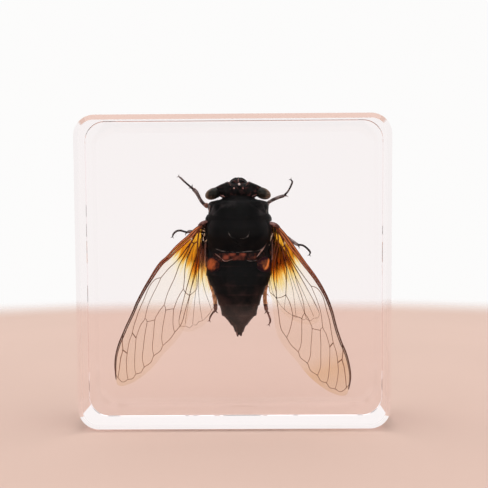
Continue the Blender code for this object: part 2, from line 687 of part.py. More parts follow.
def main():
    """Build the block and the cicada in it."""
    clear_scene()
    shell = make_material("black_shell", SHELL_COLOUR, 0.35)
    cicada_body(shell)
    forewing = make_material("forewing_membrane", FOREWING_COLOUR, 0.3, alpha=0.6)
    for name, wing in FOREWINGS.items():
        add_object(name, wing_mesh(name, wing, FOREWING_FRONT, FOREWING_REAR, FOREWING_VEINS), forewing)
    hindwing = make_material("hindwing_membrane", HINDWING_COLOUR, 0.3, alpha=0.6)
    for name, wing in HINDWINGS.items():
        add_object(name, wing_mesh(name, wing, HINDWING_FRONT, HINDWING_REAR, HINDWING_VEINS), hindwing)
    leg = make_material("leg_shell", LEG_COLOUR, 0.4)
    for name, joints in LEGS.items():
        add_object(name, leg_mesh(name, joints), leg)
    resin = make_material("clear_resin", RESIN_COLOUR, 0.03, alpha=0.35, transmission=1.0)
    pockets = all_pockets()
    resin_half("resin_front", -1, pockets, resin)
    resin_half("resin_back", 1, pockets, resin)


main()
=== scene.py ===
"""Looks of a black cicada cast in a square block of clear resin that stands on its edge.

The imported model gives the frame: the block, the cicada's body, its four wings and six legs. Every shape
here is drawn in millimetres round the cicada's own axis, which is read from that frame, and each piece stands
for the node that it replaces. Heights run up from the surface that the block stands on, the back faces -Y and
the belly faces +Y, and "out" is the distance from the cicada's axis to either side.
"""

import logging
import math
from dataclasses import dataclass
from enum import Enum
from typing import Callable, Sequence

import bmesh
import bpy
from mathutils import Matrix, Vector, noise
from mathutils.geometry import delaunay_2d_cdt


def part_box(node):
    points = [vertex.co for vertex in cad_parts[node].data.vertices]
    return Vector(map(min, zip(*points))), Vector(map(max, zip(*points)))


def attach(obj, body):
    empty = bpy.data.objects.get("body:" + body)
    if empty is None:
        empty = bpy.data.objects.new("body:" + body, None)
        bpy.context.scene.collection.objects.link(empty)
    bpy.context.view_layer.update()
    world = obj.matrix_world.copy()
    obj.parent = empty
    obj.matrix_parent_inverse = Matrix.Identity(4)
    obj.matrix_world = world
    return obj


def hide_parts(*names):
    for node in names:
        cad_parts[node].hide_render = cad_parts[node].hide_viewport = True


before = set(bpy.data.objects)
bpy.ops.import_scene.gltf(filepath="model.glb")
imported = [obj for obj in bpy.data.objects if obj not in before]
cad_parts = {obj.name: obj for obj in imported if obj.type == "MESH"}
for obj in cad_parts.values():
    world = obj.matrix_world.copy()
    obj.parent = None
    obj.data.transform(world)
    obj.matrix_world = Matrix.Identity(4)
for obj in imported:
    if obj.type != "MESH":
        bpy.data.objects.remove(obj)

MM = 0.001
BODY = "root"
LOG = logging.getLogger("cicada_block")

Material = bpy.types.Material
Node = bpy.types.Node
Socket = bpy.types.NodeSocket
Pair = tuple[float, float]
Spot = tuple[float, float, float]
Size = tuple[float, float, float]
Colour = tuple[float, float, float]
Places = Sequence[Sequence[float]]
Line = Sequence[Pair]
Curve = Callable[[float], float]
ByPlace = Callable[[float, float], float]
Stops = tuple[tuple[float, Colour], ...]
Zones = tuple[tuple[float, Colour, float], ...]
Veins = dict[str, tuple[Line, float, float]]
Edges = tuple[tuple[Line, Line], ...]


class Side(Enum):
    """The cicada's own left and right. The value is the sign of X."""

    LEFT = -1
    RIGHT = 1

    @property
    def label(self) -> str:
        """The word that names of this side start with."""
        return self.name.lower()


class Slot(Enum):
    """Material slots of the record."""

    RESIN = "clear_resin"
    SHELL = "black_shell"
    FOREWING = "forewing_membrane"
    HINDWING = "hindwing_membrane"
    LEG = "leg_shell"


# -------- curves and meshes


def value_on(line: Line, place: float) -> float:
    """Reads a smooth line through (place, value) points that run downwards.

    Args:
        line: the points, from the highest place to the lowest.
        place: where to read the line.

    Returns:
        The value there, held at the ends.
    """
    if place >= line[0][0]:
        return line[0][1]
    for i in range(len(line) - 1):
        (top, a), (bottom, b) = line[i], line[i + 1]
        if place >= bottom:
            before = line[max(i - 1, 0)]
            after = line[min(i + 2, len(line) - 1)]
            run = bottom - top
            start = (b - before[1]) / (bottom - before[0])
            end = (after[1] - a) / (after[0] - top)
            t = (place - top) / run
            rise = 3 * t ** 2 - 2 * t ** 3
            bend = start * run * (t ** 3 - 2 * t ** 2 + t) + end * run * (t ** 3 - t ** 2)
            return a + (b - a) * rise + bend
    return line[-1][1]


def smooth_path(points: Places, step: float) -> list[Vector]:
    """Points about one step apart on a smooth curve through the given points.

    Args:
        points: two or more points, of two or three numbers.
        step: the wanted distance between points.

    Returns:
        The points of the curve, the first and last as given.
    """
    knots = [Vector(point) for point in points]
    result = [knots[0]]
    for i in range(len(knots) - 1):
        a, b = knots[i], knots[i + 1]
        before = knots[i - 1] if i else a * 2 - b
        after = knots[i + 2] if i + 2 < len(knots) else b * 2 - a
        parts = max(1, round((b - a).length / step))
        turn = before * 2 - a * 5 + b * 4 - after
        twist = a * 3 - before - b * 3 + after
        for k in range(1, parts + 1):
            t = k / parts
            result.append((a * 2 + (b - before) * t + turn * t ** 2 + twist * t ** 3) * 0.5)
    return result


def ease(value: float, low: float, high: float) -> float:
    """Smooth rise from 0 at low to 1 at high, which may lie either way round."""
    t = max(0.0, min(1.0, (value - low) / (high - low)))
    return t * t * (3 - 2 * t)


def hump(value: float, centre: float, reach: float) -> float:
    """Smooth bump of height 1 at a centre that ends at a reach on both sides."""
    return 1 - ease(abs(value - centre), 0.0, reach)


def swollen(ends: float, swell: float) -> Curve:
    """The radius of a strand that is thickest in its middle, by the share of the way along it."""
    return lambda share: ends + swell * math.sin(math.pi * share)


def distance_to(point: Vector, line: Sequence[Vector]) -> float:
    """Distance from a point to the nearest run of a line."""
    best = math.inf
    for a, b in zip(line, line[1:]):
        run = b - a
        t = max(0.0, min(1.0, (point - a).dot(run) / max(run.length_squared, 1e-12)))
        best = min(best, (point - a - run * t).length)
    return best


def is_inside(point: Vector, outline: Sequence[Vector]) -> bool:
    """Whether a flat point lies inside a closed outline."""
    inside = False
    for a, b in zip(outline, list(outline[1:]) + [outline[0]]):
        if (a.y > point.y) != (b.y > point.y):
            if point.x < a.x + (point.y - a.y) / (b.y - a.y) * (b.x - a.x):
                inside = not inside
    return inside


def in_block(axis: float, spots: Places, sign: float = 1) -> list[Vector]:
    """Places in the block of spots that are given as out, depth and height, on the side of a sign."""
    return [Vector((axis + sign * out, depth, height)) for out, depth, height, *_ in spots]


def new_object(name: str, data: bpy.types.ID) -> bpy.types.Object:
    """Makes an object and puts it into the scene."""
    made = bpy.data.objects.new(name, data)
    bpy.context.scene.collection.objects.link(made)
    return made


class MeshMaker:
    """Gathers points in millimetres and faces, and turns them into a piece that rides on the frame."""

    def __init__(self) -> None:
        """Starts with no points."""
        self.points: list[Vector] = []
        self.faces: list[tuple[int, ...]] = []
        self.marks: dict[str, list[float]] = {}

    def add(self, point: Vector, **marks: float) -> int:
        """Adds a point with named numbers for its finish.

        Args:
            point: its place in millimetres.
            marks: numbers that the finish reads, by name.

        Returns:
            The point's index.
        """
        for name in marks:
            self.marks.setdefault(name, [0.0] * len(self.points))
        self.points.append(Vector(point))
        for name, values in self.marks.items():
            values.append(marks.get(name, 0.0))
        return len(self.points) - 1

    def loft(self, rings: Sequence[Sequence[Vector]],
             marks: Callable[[int, int], dict[str, float]] | None = None) -> None:
        """Joins rings of points into a closed skin, with a fan at each end.

        Args:
            rings: rings of one length, from one end to the other.
            marks: the numbers of a point, by its ring and its corner, which is -1 for the end's middle.
        """
        numbers = marks or (lambda ring, corner: {})
        loops = []
        for i, ring in enumerate(rings):
            loops.append([self.add(point, **numbers(i, k)) for k, point in enumerate(ring)])
        count = len(loops[0])
        for lower, upper in zip(loops, loops[1:]):
            for i in range(count):
                j = (i + 1) % count
                self.faces.append((lower[i], lower[j], upper[j], upper[i]))
        for end, loop in ((0, loops[0]), (len(rings) - 1, loops[-1])):
            centre = sum((self.points[i] for i in loop), Vector()) / count
            pole = self.add(centre, **numbers(end, -1))
            for i in range(count):
                self.faces.append((loop[i], loop[(i + 1) % count], pole))

    def tube(self, path: Sequence[Vector], radii: Sequence[float], sides: int,
             flatness: float = 1.0, marks: Sequence[dict[str, float]] = ()) -> None:
        """Adds a round or flattened tube along a path, whose points know how near they are to its rims.

        Args:
            path: points of the middle line.
            radii: the radius at each point.
            sides: how many sides the tube has.
            flatness: its thickness over its width.
            marks: the numbers of each point of the path.
        """
        rings = []
        for i, centre in enumerate(path):
            way = (path[min(i + 1, len(path) - 1)] - path[max(i - 1, 0)]).normalized()
            across = way.cross(Vector((0.0, 1.0, 0.0)))
            if across.length < 0.05:
                across = way.cross(Vector((1.0, 0.0, 0.0)))
            across.normalize()
            up = across.cross(way)
            ring = []
            for k in range(sides):
                angle = math.tau * k / sides
                ring.append(centre + (across * math.cos(angle) + up * math.sin(angle) * flatness) * radii[i])
            rings.append(ring)

        def numbers(ring: int, corner: int) -> dict[str, float]:
            """The path's numbers, and the share of the way to the rim."""
            rim = abs(math.cos(math.tau * corner / sides)) if corner >= 0 else 0.0
            return {**(marks[ring] if marks else {}), "rim": rim}

        self.loft(rings, numbers)

    def strand(self, points: Places, step: float, sides: int, radius: Curve) -> None:
        """Adds a tube along a smooth curve.

        Args:
            points: points of the curve.
            step: the distance between the tube's rings.
            sides: how many sides the tube has.
            radius: its radius at a share of the way along it.
        """
        path = smooth_path(points, step)
        last = len(path) - 1
        self.tube(path, [radius(i / last) for i in range(last + 1)], sides)

    def egg(self, centre: Vector, half_size: Sequence[float], turn: Matrix | None = None,
            detail: int = 24, relief: Callable[[Vector], float] | None = None) -> None:
        """Adds an egg shape.

        Args:
            centre: its middle.
            half_size: half its size along X, Y and Z before it is turned.
            turn: its rotation.
            detail: how many sides it has round its long way.
            relief: the share that its surface is pushed out by, for a direction from its middle.
        """
        rings = []
        stacks = max(4, detail // 2)
        for i in range(1, stacks):
            polar = math.pi * i / stacks
            ring = []
            for k in range(detail):
                angle = math.tau * k / detail
                way = Vector((math.sin(polar) * math.cos(angle), math.sin(polar) * math.sin(angle),
                              math.cos(polar)))
                swell = 1 + (relief(way) if relief else 0.0)
                point = Vector([c * h for c, h in zip(way, half_size)]) * swell
                ring.append(centre + (turn @ point if turn else point))
            rings.append(ring)
        self.loft(rings)
        for pole, end in ((len(self.points) - 2, 1.0), (len(self.points) - 1, -1.0)):
            tip = Vector((0.0, 0.0, end * half_size[2]))
            self.points[pole] = centre + (turn @ tip if turn else tip)

    @staticmethod
    def face_outwards(mesh: bpy.types.Mesh) -> None:
        """Turns all faces of closed skins outwards."""
        skin = bmesh.new()
        skin.from_mesh(mesh)
        bmesh.ops.recalc_face_normals(skin, faces=skin.faces)
        skin.to_mesh(mesh)
        skin.free()

    def piece(self, name: str, finish: "Finish", slot: Slot = Slot.SHELL, replaces: Sequence[str] = (),
              sharp_angle: float = 40.0) -> bpy.types.Object:
        """Makes the piece and lets it ride on the frame.

        Args:
            name: the piece's name.
            finish: what its surface is like.
            slot: the record's material slot that it stands for; not used.
            replaces: nodes of the frame that it stands for.
            sharp_angle: edges sharper than this, in degrees, stay sharp.

        Returns:
            The new object.
        """
        mesh = bpy.data.meshes.new(name)
        mesh.from_pydata([point * MM for point in self.points], [], self.faces)
        self.face_outwards(mesh)
        for mark, values in self.marks.items():
            mesh.attributes.new(mark, "FLOAT", "POINT").data.foreach_set("value", values)
        mesh.validate()
        mesh.shade_smooth()
        mesh.set_sharp_from_angle(angle=math.radians(sharp_angle))
        mesh.materials.append(finish.material())
        made = new_object(name, mesh)
        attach(made, BODY)
        if replaces:
            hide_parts(*replaces)
        LOG.info("%s: %d points, %d faces", name, len(mesh.vertices), len(mesh.polygons))
        return made


# -------- finishes


class NodeSheet:
    """The nodes of one material, or of the world."""

    def __init__(self, made: Material | bpy.types.World) -> None:
        """Starts with the nodes that a new material or world holds."""
        self.made = made
        made.use_nodes = True
        self.tree = made.node_tree
        self.shader = self.tree.nodes.get("Principled BSDF")
        self.output = self.tree.nodes.get("Material Output")

    def add(self, kind: str, inputs: dict[str | int, object] | None = None,
            **settings: object) -> Node:
        """Adds a node.

        Args:
            kind: its type name.
            inputs: values or source sockets for its input sockets, by name or number.
            settings: its own properties.

        Returns:
            The node.
        """
        node = self.tree.nodes.new(kind)
        for key, value in settings.items():
            setattr(node, key, value)
        for key, value in (inputs or {}).items():
            self.put(node.inputs[key], value)
        return node

    def put(self, socket: Socket, value: object) -> None:
        """Sets an input socket, or links it to a source socket."""
        if isinstance(value, Socket):
            self.tree.links.new(value, socket)
        else:
            socket.default_value = value

    def mark(self, name: str) -> Socket:
        """The number of this name on the mesh's points."""
        return self.add("ShaderNodeAttribute", attribute_name=name).outputs["Fac"]

    def places(self) -> Socket:
        """The surface's place in metres."""
        return self.add("ShaderNodeTexCoord").outputs["Object"]

    def maths(self, operation: str, a: object, b: object = 0.0, clamp: bool = False) -> Socket:
        """One step of reckoning with two numbers, whose result may be held between 0 and 1."""
        return self.add("ShaderNodeMath", {0: a, 1: b}, operation=operation, use_clamp=clamp).outputs[0]

    def plus(self, a: object, b: object, clamp: bool = False) -> Socket:
        """The sum of two numbers, which may be held between 0 and 1."""
        return self.maths("ADD", a, b, clamp)

    def times(self, a: object, b: object) -> Socket:
        """The product of two numbers."""
        return self.maths("MULTIPLY", a, b)

    def sway(self, number: object, width: float) -> Socket:
        """Turns a number from 0 to 1 into one that sways about 0, over a width."""
        return self.times(self.maths("SUBTRACT", number, 0.5), width)

    def spread(self, value: object, low: float, high: float, to_low: float = 0.0,
               to_high: float = 1.0) -> Socket:
        """Maps a number from one range to another, smoothly and within its ends."""
        return self.add("ShaderNodeMapRange", {
            "Value": value, "From Min": low, "From Max": high, "To Min": to_low, "To Max": to_high,
        }, interpolation_type="SMOOTHSTEP").outputs["Result"]

    def clouds(self, scale: float, detail: float = 3.0, places: object = None) -> Socket:
        """Soft noise from 0 to 1."""
        return self.add("ShaderNodeTexNoise", {
            "Scale": scale, "Detail": detail, "Vector": places or self.places(),
        }).outputs["Fac"]

    def cells(self, scale: float) -> Socket:
        """The distance to the middle of the nearest of many small cells."""
        return self.add("ShaderNodeTexVoronoi", {"Scale": scale, "Vector": self.places()}).outputs["Distance"]

    def ramp(self, value: object, stops: Stops | Zones) -> Node:
        """Adds a ramp of colours along a number from 0 to 1.

        Args:
            value: the number.
            stops: each stop's place and colour, and its density where the ramp has densities.

        Returns:
            The ramp, whose outputs are the colour and the density.
        """
        node = self.add("ShaderNodeValToRGB", {"Fac": value})
        elements = node.color_ramp.elements
        while len(elements) < len(stops):
            elements.new(0.5)
        for element, (place, colour, *density) in zip(elements, stops):
            element.position = place
            element.color = (*colour, *(density or (1.0,)))
        return node

    def blend(self, share: object, a: object, b: object) -> Socket:
        """A colour between two colours."""
        ends = ((*colour, 1.0) if isinstance(colour, tuple) else colour for colour in (a, b))
        return self.add("ShaderNodeMix", dict(zip((0, 6, 7), (share, *ends))), data_type="RGBA").outputs[2]

    def bump(self, height: object, depth: float) -> None:
        """Lets a height stand out of the surface, up to a depth in metres."""
        node = self.add("ShaderNodeBump", {"Height": height, "Distance": depth, "Strength": 1.0})
        self.put(self.shader.inputs["Normal"], node.outputs["Normal"])

    def film(self, body: object, colour: object, solid: Socket) -> None:
        """Makes the surface a clear tinted film, of which a share is a solid body."""
        clear = self.add("ShaderNodeBsdfTransparent", {"Color": colour}).outputs[0]
        seen = self.add("ShaderNodeMixShader", {0: body, 1: clear, 2: solid}).outputs[0]
        self.put(self.output.inputs["Surface"], seen)

    def plain(self, **values: object) -> None:
        """Sets sockets of the shader. Underscores stand for spaces."""
        for key, value in values.items():
            self.put(self.shader.inputs[key.replace("_", " ")], value)


@dataclass(frozen=True)
class Finish:
    """A surface finish. Its material is made once."""

    name: str

    def material(self) -> Material:
        """The finish's material."""
        return bpy.data.materials.get(self.name) or self.paint(NodeSheet(bpy.data.materials.new(self.name)))

    def paint(self, sheet: NodeSheet) -> Material:
        """Fills in the material."""
        raise NotImplementedError


@dataclass(frozen=True)
class ShellFinish(Finish):
    """Hard insect shell: two colours in soft patches, fine grain, and pits.

    A mark named warmth, where a piece has one, moves its patches towards the warm colour.

    Attributes:
        patch: the clouds' values where a patch starts and is full.
        grain_depth: the grain's depth in metres.
        pit_share: the pits' scale and depth over the grain's.
        wear: how far the grain makes the shell smoother and rougher.
    """

    dark: Colour = (0.0022, 0.0024, 0.0028)
    warm: Colour = (0.0052, 0.0038, 0.0038)
    patch_scale: float = 450.0
    patch: Pair = (0.45, 0.7)
    grain_scale: float = 5000.0
    grain_depth: float = 0.0000045
    pit_share: float = 0.6
    roughness: float = 0.42
    wear: Pair = (-0.08, 0.1)
    specular: float = 0.1

    def paint(self, sheet: NodeSheet) -> Material:
        """Fills in the material."""
        clouds = sheet.plus(sheet.clouds(self.patch_scale), sheet.mark("warmth"))
        patches = sheet.spread(clouds, *self.patch)
        grain = sheet.clouds(self.grain_scale, 4.0)
        pits = sheet.cells(self.grain_scale * self.pit_share)
        sheet.bump(sheet.plus(grain, sheet.times(pits, self.pit_share)), self.grain_depth)
        least, most = (self.roughness + change for change in self.wear)
        sheet.plain(Base_Color=sheet.blend(patches, self.dark, self.warm),
                    Roughness=sheet.spread(grain, 0.3, 0.7, least, most),
                    Specular_IOR_Level=self.specular, IOR=1.5)
        return sheet.made


@dataclass(frozen=True)
class EyeFinish(Finish):
    """A compound eye: olive brown, paler at its rim, with fine facets.

    The mark named rim is 1 at its rim, and clouds move that rim a little.
    """

    deep: Colour = (0.017, 0.018, 0.013)
    pale: Colour = (0.30, 0.205, 0.135)
    rim_reach: Pair = (0.45, 1.25)
    cloud_scale: float = 900.0
    cloud_share: float = 0.5
    facet_scale: float = 9000.0
    facet_depth: float = 0.00002
    facing_blend: float = 0.35
    roughness: Pair = (0.28, 0.4)
    specular: float = 0.2

    def paint(self, sheet: NodeSheet) -> Material:
        """Fills in the material."""
        clouds = sheet.times(sheet.clouds(self.cloud_scale), self.cloud_share)
        share = sheet.spread(sheet.plus(sheet.mark("rim"), clouds), *self.rim_reach)
        facing = sheet.add("ShaderNodeLayerWeight", {"Blend": self.facing_blend}).outputs["Facing"]
        sheet.bump(sheet.cells(self.facet_scale), self.facet_depth)
        sheet.plain(Base_Color=sheet.blend(share, self.deep, self.pale),
                    Roughness=sheet.spread(facing, 0.0, 1.0, *self.roughness),
                    Specular_IOR_Level=self.specular)
        return sheet.made


@dataclass(frozen=True)
class MembraneFinish(Finish):
    """A wing's clear membrane, which glows amber at its root, with sooty streaks along the wing.

    Attributes:
        zones: tint and body by place, from the root at 0 to the amber's edge at 0.5 and twice that at 1.
        bare: tint and body of the clear part, from the wing's root at 0 to its tip at 1.
        leave: the places where the amber starts to fade and has gone.
        amber: how far it reaches along the wing's front edge and along its hind edge.
        fan: the angles of those two edges at the root, in degrees.
        flow: how fast the clouds change round the root and along the wing.
        fine: how fine the small clouds are, and how far they move the zones.
        broad: the same for the broad clouds.
        soot_colour: the streaks' colour.
        soot: how strong they are.
        soot_from: where they start, on the scale of the zones.
        soot_rise: how far on they are full.
        soot_end: where they have gone and where they start to fade.
        soot_patch: the broad clouds' range from no streaks to all of them.
        soot_grain: the same for the small clouds.
        length: the wing's length.
        glow: the share of the membrane's body that lets light through.
        roughness: the roughness of the rest.
        specular: how strongly the rest mirrors light.
    """

    zones: Zones = (
        (0.0, (0.35, 0.08, 0.01), 0.5), (0.06, (1.0, 0.55, 0.05), 0.22), (0.2, (0.98, 0.48, 0.035), 0.2),
        (0.28, (0.86, 0.34, 0.015), 0.25), (0.4, (0.80, 0.26, 0.01), 0.25), (0.47, (1.0, 0.48, 0.04), 0.2),
        (0.52, (1.0, 0.72, 0.24), 0.12), (0.57, (1.0, 0.89, 0.58), 0.06), (0.66, (1.0, 0.94, 0.80), 0.04),
        (1.0, (1.0, 0.95, 0.89), 0.03),
    )
    bare: Zones = (
        (0.0, (1.0, 0.94, 0.84), 0.03), (0.5, (0.985, 0.945, 0.895), 0.03),
        (0.75, (0.97, 0.925, 0.85), 0.035), (1.0, (0.95, 0.885, 0.76), 0.04),
    )
    leave: Pair = (0.62, 0.85)
    amber: Pair = (9.6, 12.6)
    fan: Pair = (16.0, -26.0)
    flow: Pair = (0.22, 0.10)
    fine: Pair = (1.6, 0.30)
    broad: Pair = (0.55, 0.16)
    soot_colour: Colour = (0.05, 0.012, 0.006)
    soot: float = 0.6
    soot_from: float = 0.14
    soot_rise: float = 0.12
    soot_end: Pair = (0.56, 0.44)
    soot_patch: Pair = (0.30, 0.5)
    soot_grain: Pair = (0.46, 0.58)
    length: float = 46.0
    glow: float = 0.7
    roughness: float = 0.4
    specular: float = 0.15

    def paint(self, sheet: NodeSheet) -> Material:
        """Fills in the material."""
        reach, angle = sheet.mark("reach"), sheet.mark("angle")
        round_root, along_wing = self.flow
        flow = sheet.add("ShaderNodeCombineXYZ", {
            "X": sheet.times(angle, round_root), "Y": sheet.times(reach, along_wing),
        }).outputs["Vector"]
        fine, broad = sheet.clouds(self.fine[0], 3.0, flow), sheet.clouds(self.broad[0], 2.0, flow)
        end = sheet.spread(angle, *self.fan, *self.amber)
        share = sheet.maths("DIVIDE", reach, sheet.times(end, 2.0))
        shift = sheet.plus(sheet.sway(fine, self.fine[1]), sheet.sway(broad, self.broad[1]))
        place = sheet.plus(share, sheet.times(shift, sheet.spread(share, 0.0, 0.3)), clamp=True)
        stained = sheet.ramp(place, self.zones).outputs
        bare = sheet.ramp(sheet.maths("DIVIDE", sheet.mark("along"), self.length), self.bare).outputs
        leave = sheet.spread(place, *self.leave)
        zone = sheet.times(sheet.spread(share, self.soot_from, self.soot_from + self.soot_rise),
                           sheet.spread(place, *self.soot_end))
        streak = sheet.times(sheet.spread(broad, *self.soot_patch), sheet.spread(fine, *self.soot_grain))
        soot = sheet.times(sheet.times(streak, zone), self.soot)
        colour = sheet.blend(leave, stained["Color"], bare["Color"])
        colour = sheet.blend(soot, colour, self.soot_colour)
        density = sheet.add("ShaderNodeMix", {0: leave, 2: stained["Alpha"], 3: bare["Alpha"]},
                            data_type="FLOAT")
        sheet.plain(Base_Color=colour, Roughness=self.roughness, Specular_IOR_Level=self.specular)
        shine = sheet.add("ShaderNodeBsdfTranslucent", {"Color": colour}).outputs[0]
        lit = sheet.add("ShaderNodeMixShader", {0: self.glow, 1: sheet.shader.outputs[0], 2: shine})
        sheet.film(density.outputs[0], colour, lit.outputs[0])
        return sheet.made


@dataclass(frozen=True)
class VeinFinish(Finish):
    """Wing veins, which let tinted light through, with darker rims on the strong ones, a painted shade at the
    round veins' sides.

    Attributes:
        stops: the tint of a vein's middle by place, from the wing's root at 0 to its tip at 1.
        rims: the tint of its rims, a painted shade at its sides, in the same way.
        body: the share that is solid shell.
        root_body: that share near the root.
        root_colour: the shell's colour near the root.
        root_rim: the colour of its rims there, a painted shade too.
        root_reach: where along the wing the root's look starts and stops to fade.
        rim_from: where across a vein its rim starts, from its middle at 0 to its side at 1.
        rim_fade: how far on the rim is full.
        cloud_scale: how fine the clouds are that move the places of the tints.
        sway: how far they move them.
        length: the wing's length.
        grain_scale: how fine the veins' grain is.
        grain_depth: its depth in metres.
        roughness: the veins' roughness.
        specular: how strongly they mirror light.
    """

    stops: Stops
    rims: Stops
    body: float
    root_body: float
    root_colour: Colour
    root_rim: Colour
    root_reach: Pair
    rim_from: float = 0.5
    rim_fade: float = 0.35
    cloud_scale: float = 700.0
    sway: float = 0.12
    length: float = 46.0
    grain_scale: float = 5000.0
    grain_depth: float = 0.00001
    roughness: float = 0.45
    specular: float = 0.15

    def paint(self, sheet: NodeSheet) -> Material:
        """Fills in the material."""
        share = sheet.maths("DIVIDE", sheet.mark("along"), self.length)
        place = sheet.plus(share, sheet.sway(sheet.clouds(self.cloud_scale), self.sway), clamp=True)
        rim = sheet.spread(sheet.mark("rim"), self.rim_from, min(1.0, self.rim_from + self.rim_fade))
        middle, side = (sheet.ramp(place, tints).outputs["Color"] for tints in (self.stops, self.rims))
        # The darker rim tint is painted shade at the vein's sides.
        colour = sheet.blend(rim, middle, side)
        deep = sheet.add("ShaderNodeGamma", {"Color": colour, "Gamma": 2.0}).outputs[0]
        bare = sheet.spread(share, *self.root_reach)
        solid = sheet.spread(share, *self.root_reach, self.root_body, self.body)
        root = sheet.blend(rim, self.root_colour, self.root_rim)
        sheet.bump(sheet.clouds(self.grain_scale), self.grain_depth)
        sheet.plain(Base_Color=sheet.blend(bare, root, deep), Roughness=self.roughness,
                    Specular_IOR_Level=self.specular)
        sheet.film(solid, colour, sheet.shader.outputs[0])
        return sheet.made


@dataclass(frozen=True)
class ResinFinish(Finish):
    """Polished clear casting resin with a faint warm cast."""

    cast: Colour = (0.9, 0.1, 0.12)
    density: float = 2.2
    ior: float = 1.5

    def paint(self, sheet: NodeSheet) -> Material:
        """Fills in the material."""
        sheet.plain(Base_Color=(1.0, 1.0, 1.0, 1.0), Roughness=0.0, IOR=self.ior, Transmission_Weight=1.0)
        volume = sheet.add("ShaderNodeVolumeAbsorption", {
            "Color": (*self.cast, 1.0), "Density": self.density,
        })
        sheet.put(sheet.output.inputs["Volume"], volume.outputs["Volume"])
        return sheet.made


@dataclass(frozen=True)
class FloorFinish(Finish):
    """Plain pale table top that fades out behind the block.

    Its fade is given in metres from the middle of the floor.
    """

    colour: Colour = (0.63, 0.45, 0.38)
    shade: float = 0.95
    cloud_scale: float = 9.0
    fade_from: float = 0.262
    fade_to: float = 0.358
    roughness: float = 0.75
    specular: float = 0.2

    def paint(self, sheet: NodeSheet) -> Material:
        """Fills in the material."""
        away = sheet.add("ShaderNodeVectorMath", {0: sheet.places()}, operation="LENGTH").outputs["Value"]
        patches = sheet.spread(sheet.clouds(self.cloud_scale, 2.0), 0.2, 0.8)
        darker = tuple(channel * self.shade for channel in self.colour)
        sheet.plain(Base_Color=sheet.blend(patches, self.colour, darker), Roughness=self.roughness,
                    Alpha=sheet.spread(away, self.fade_from, self.fade_to, 1.0, 0.0),
                    Specular_IOR_Level=self.specular)
        return sheet.made


BLACK = ShellFinish("black_shell_finish")
FACE = ShellFinish("face_shell_finish", warm=(0.085, 0.03, 0.027), patch_scale=1100.0, patch=(0.5, 0.8))
# Grey patches on the neck shield: grey mottling at random, and on its flanks a painted sheen of the light
# from the right.
NECK = ShellFinish("neck_shell_sheen_finish", dark=(0.0025, 0.0027, 0.0032), warm=(0.042, 0.037, 0.038),
                   patch_scale=330.0, patch=(0.5, 0.85))
RUST = ShellFinish("rust_shell_finish", dark=(0.007, 0.004, 0.004), warm=(0.36, 0.085, 0.045),
                   patch_scale=1100.0, patch=(0.5, 1.5))
AMBER = ShellFinish("left_amber_finish", dark=(0.014, 0.004, 0.006), warm=(0.56, 0.125, 0.03),
                    patch_scale=1500.0, patch=(0.55, 1.6))
GOLD = ShellFinish("right_amber_finish", dark=(0.020, 0.003, 0.008), warm=(0.95, 0.28, 0.06),
                   patch_scale=900.0, patch=(0.65, 1.6))
RINGS = ShellFinish("abdomen_ring_finish", warm=(0.062, 0.028, 0.023), patch=(0.5, 1.5))
TAIL = ShellFinish("tail_shell_finish", dark=(0.045, 0.017, 0.014), warm=(0.20, 0.09, 0.075),
                   patch_scale=900.0)
# Pale: painted highlights in the seams beside the thorax and on the wing folds, and the pale skin at the
# knees.
PALE = ShellFinish("pale_glint_and_knee_finish", dark=(0.26, 0.14, 0.11), warm=(0.60, 0.38, 0.32),
                   patch_scale=900.0)
# Near white dabs at the wing roots: painted highlights where light glints there.
ROOT_GLINT = ShellFinish("wing_root_glint_finish", dark=(0.60, 0.42, 0.26), warm=(0.95, 0.88, 0.76),
                   patch_scale=1500.0)
# Lighter grey ridge and edge lines on the thorax: a painted highlight where they catch the light.
RIDGE_GLINT = ShellFinish("ridge_highlight_finish", dark=(0.012, 0.012, 0.013), warm=(0.15, 0.13, 0.12),
                    patch_scale=900.0, patch=(0.38, 0.62))
LEG = ShellFinish("leg_shell_finish", dark=(0.135, 0.108, 0.107), warm=(0.42, 0.355, 0.345),
                  patch_scale=700.0, patch=(0.4, 0.65), specular=0.25)
TOE = ShellFinish("toe_shell_finish", dark=(0.045, 0.036, 0.036), warm=(0.18, 0.14, 0.135),
                  patch_scale=700.0)
FOOT = ShellFinish("hind_foot_finish", dark=(0.12, 0.05, 0.04), warm=(0.28, 0.13, 0.10),
                   patch_scale=700.0)
RED_LEG = ShellFinish("red_leg_finish", dark=(0.58, 0.27, 0.14), warm=(1.0, 0.60, 0.36),
                      patch_scale=700.0, patch=(0.35, 0.6))
BEAD = ShellFinish("ocellus_finish", dark=(0.30, 0.12, 0.10), warm=(0.80, 0.50, 0.45),
                   patch_scale=1500.0, roughness=0.2, specular=0.5)
ROOT = ShellFinish("wing_root_finish", dark=(0.018, 0.008, 0.006), warm=(0.13, 0.045, 0.030),
                   patch_scale=700.0)
SCALE = ShellFinish("shoulder_scale_finish", dark=(0.15, 0.07, 0.06), warm=(0.46, 0.28, 0.26),
                    patch_scale=900.0)
# Near white front ocellus: a painted highlight on the bead.
OCELLUS_GLINT = ShellFinish("front_ocellus_glint_finish", dark=(0.85, 0.70, 0.66), warm=(1.0, 0.95, 0.94),
                    patch_scale=1500.0, roughness=0.2, specular=0.5)
EYE = EyeFinish("eye_finish")
LEFT_STAIN = MembraneFinish("left_forewing_finish", soot_patch=(0.4, 0.6))
RIGHT_STAIN = MembraneFinish("right_forewing_finish", soot=0.9, bare=(
    (0.0, (1.0, 0.94, 0.84), 0.03), (0.5, (0.985, 0.945, 0.895), 0.03), (0.75, (0.97, 0.92, 0.84), 0.035),
    (0.84, (0.92, 0.79, 0.60), 0.06), (0.92, (0.93, 0.83, 0.68), 0.05), (1.0, (0.94, 0.87, 0.76), 0.04),
))
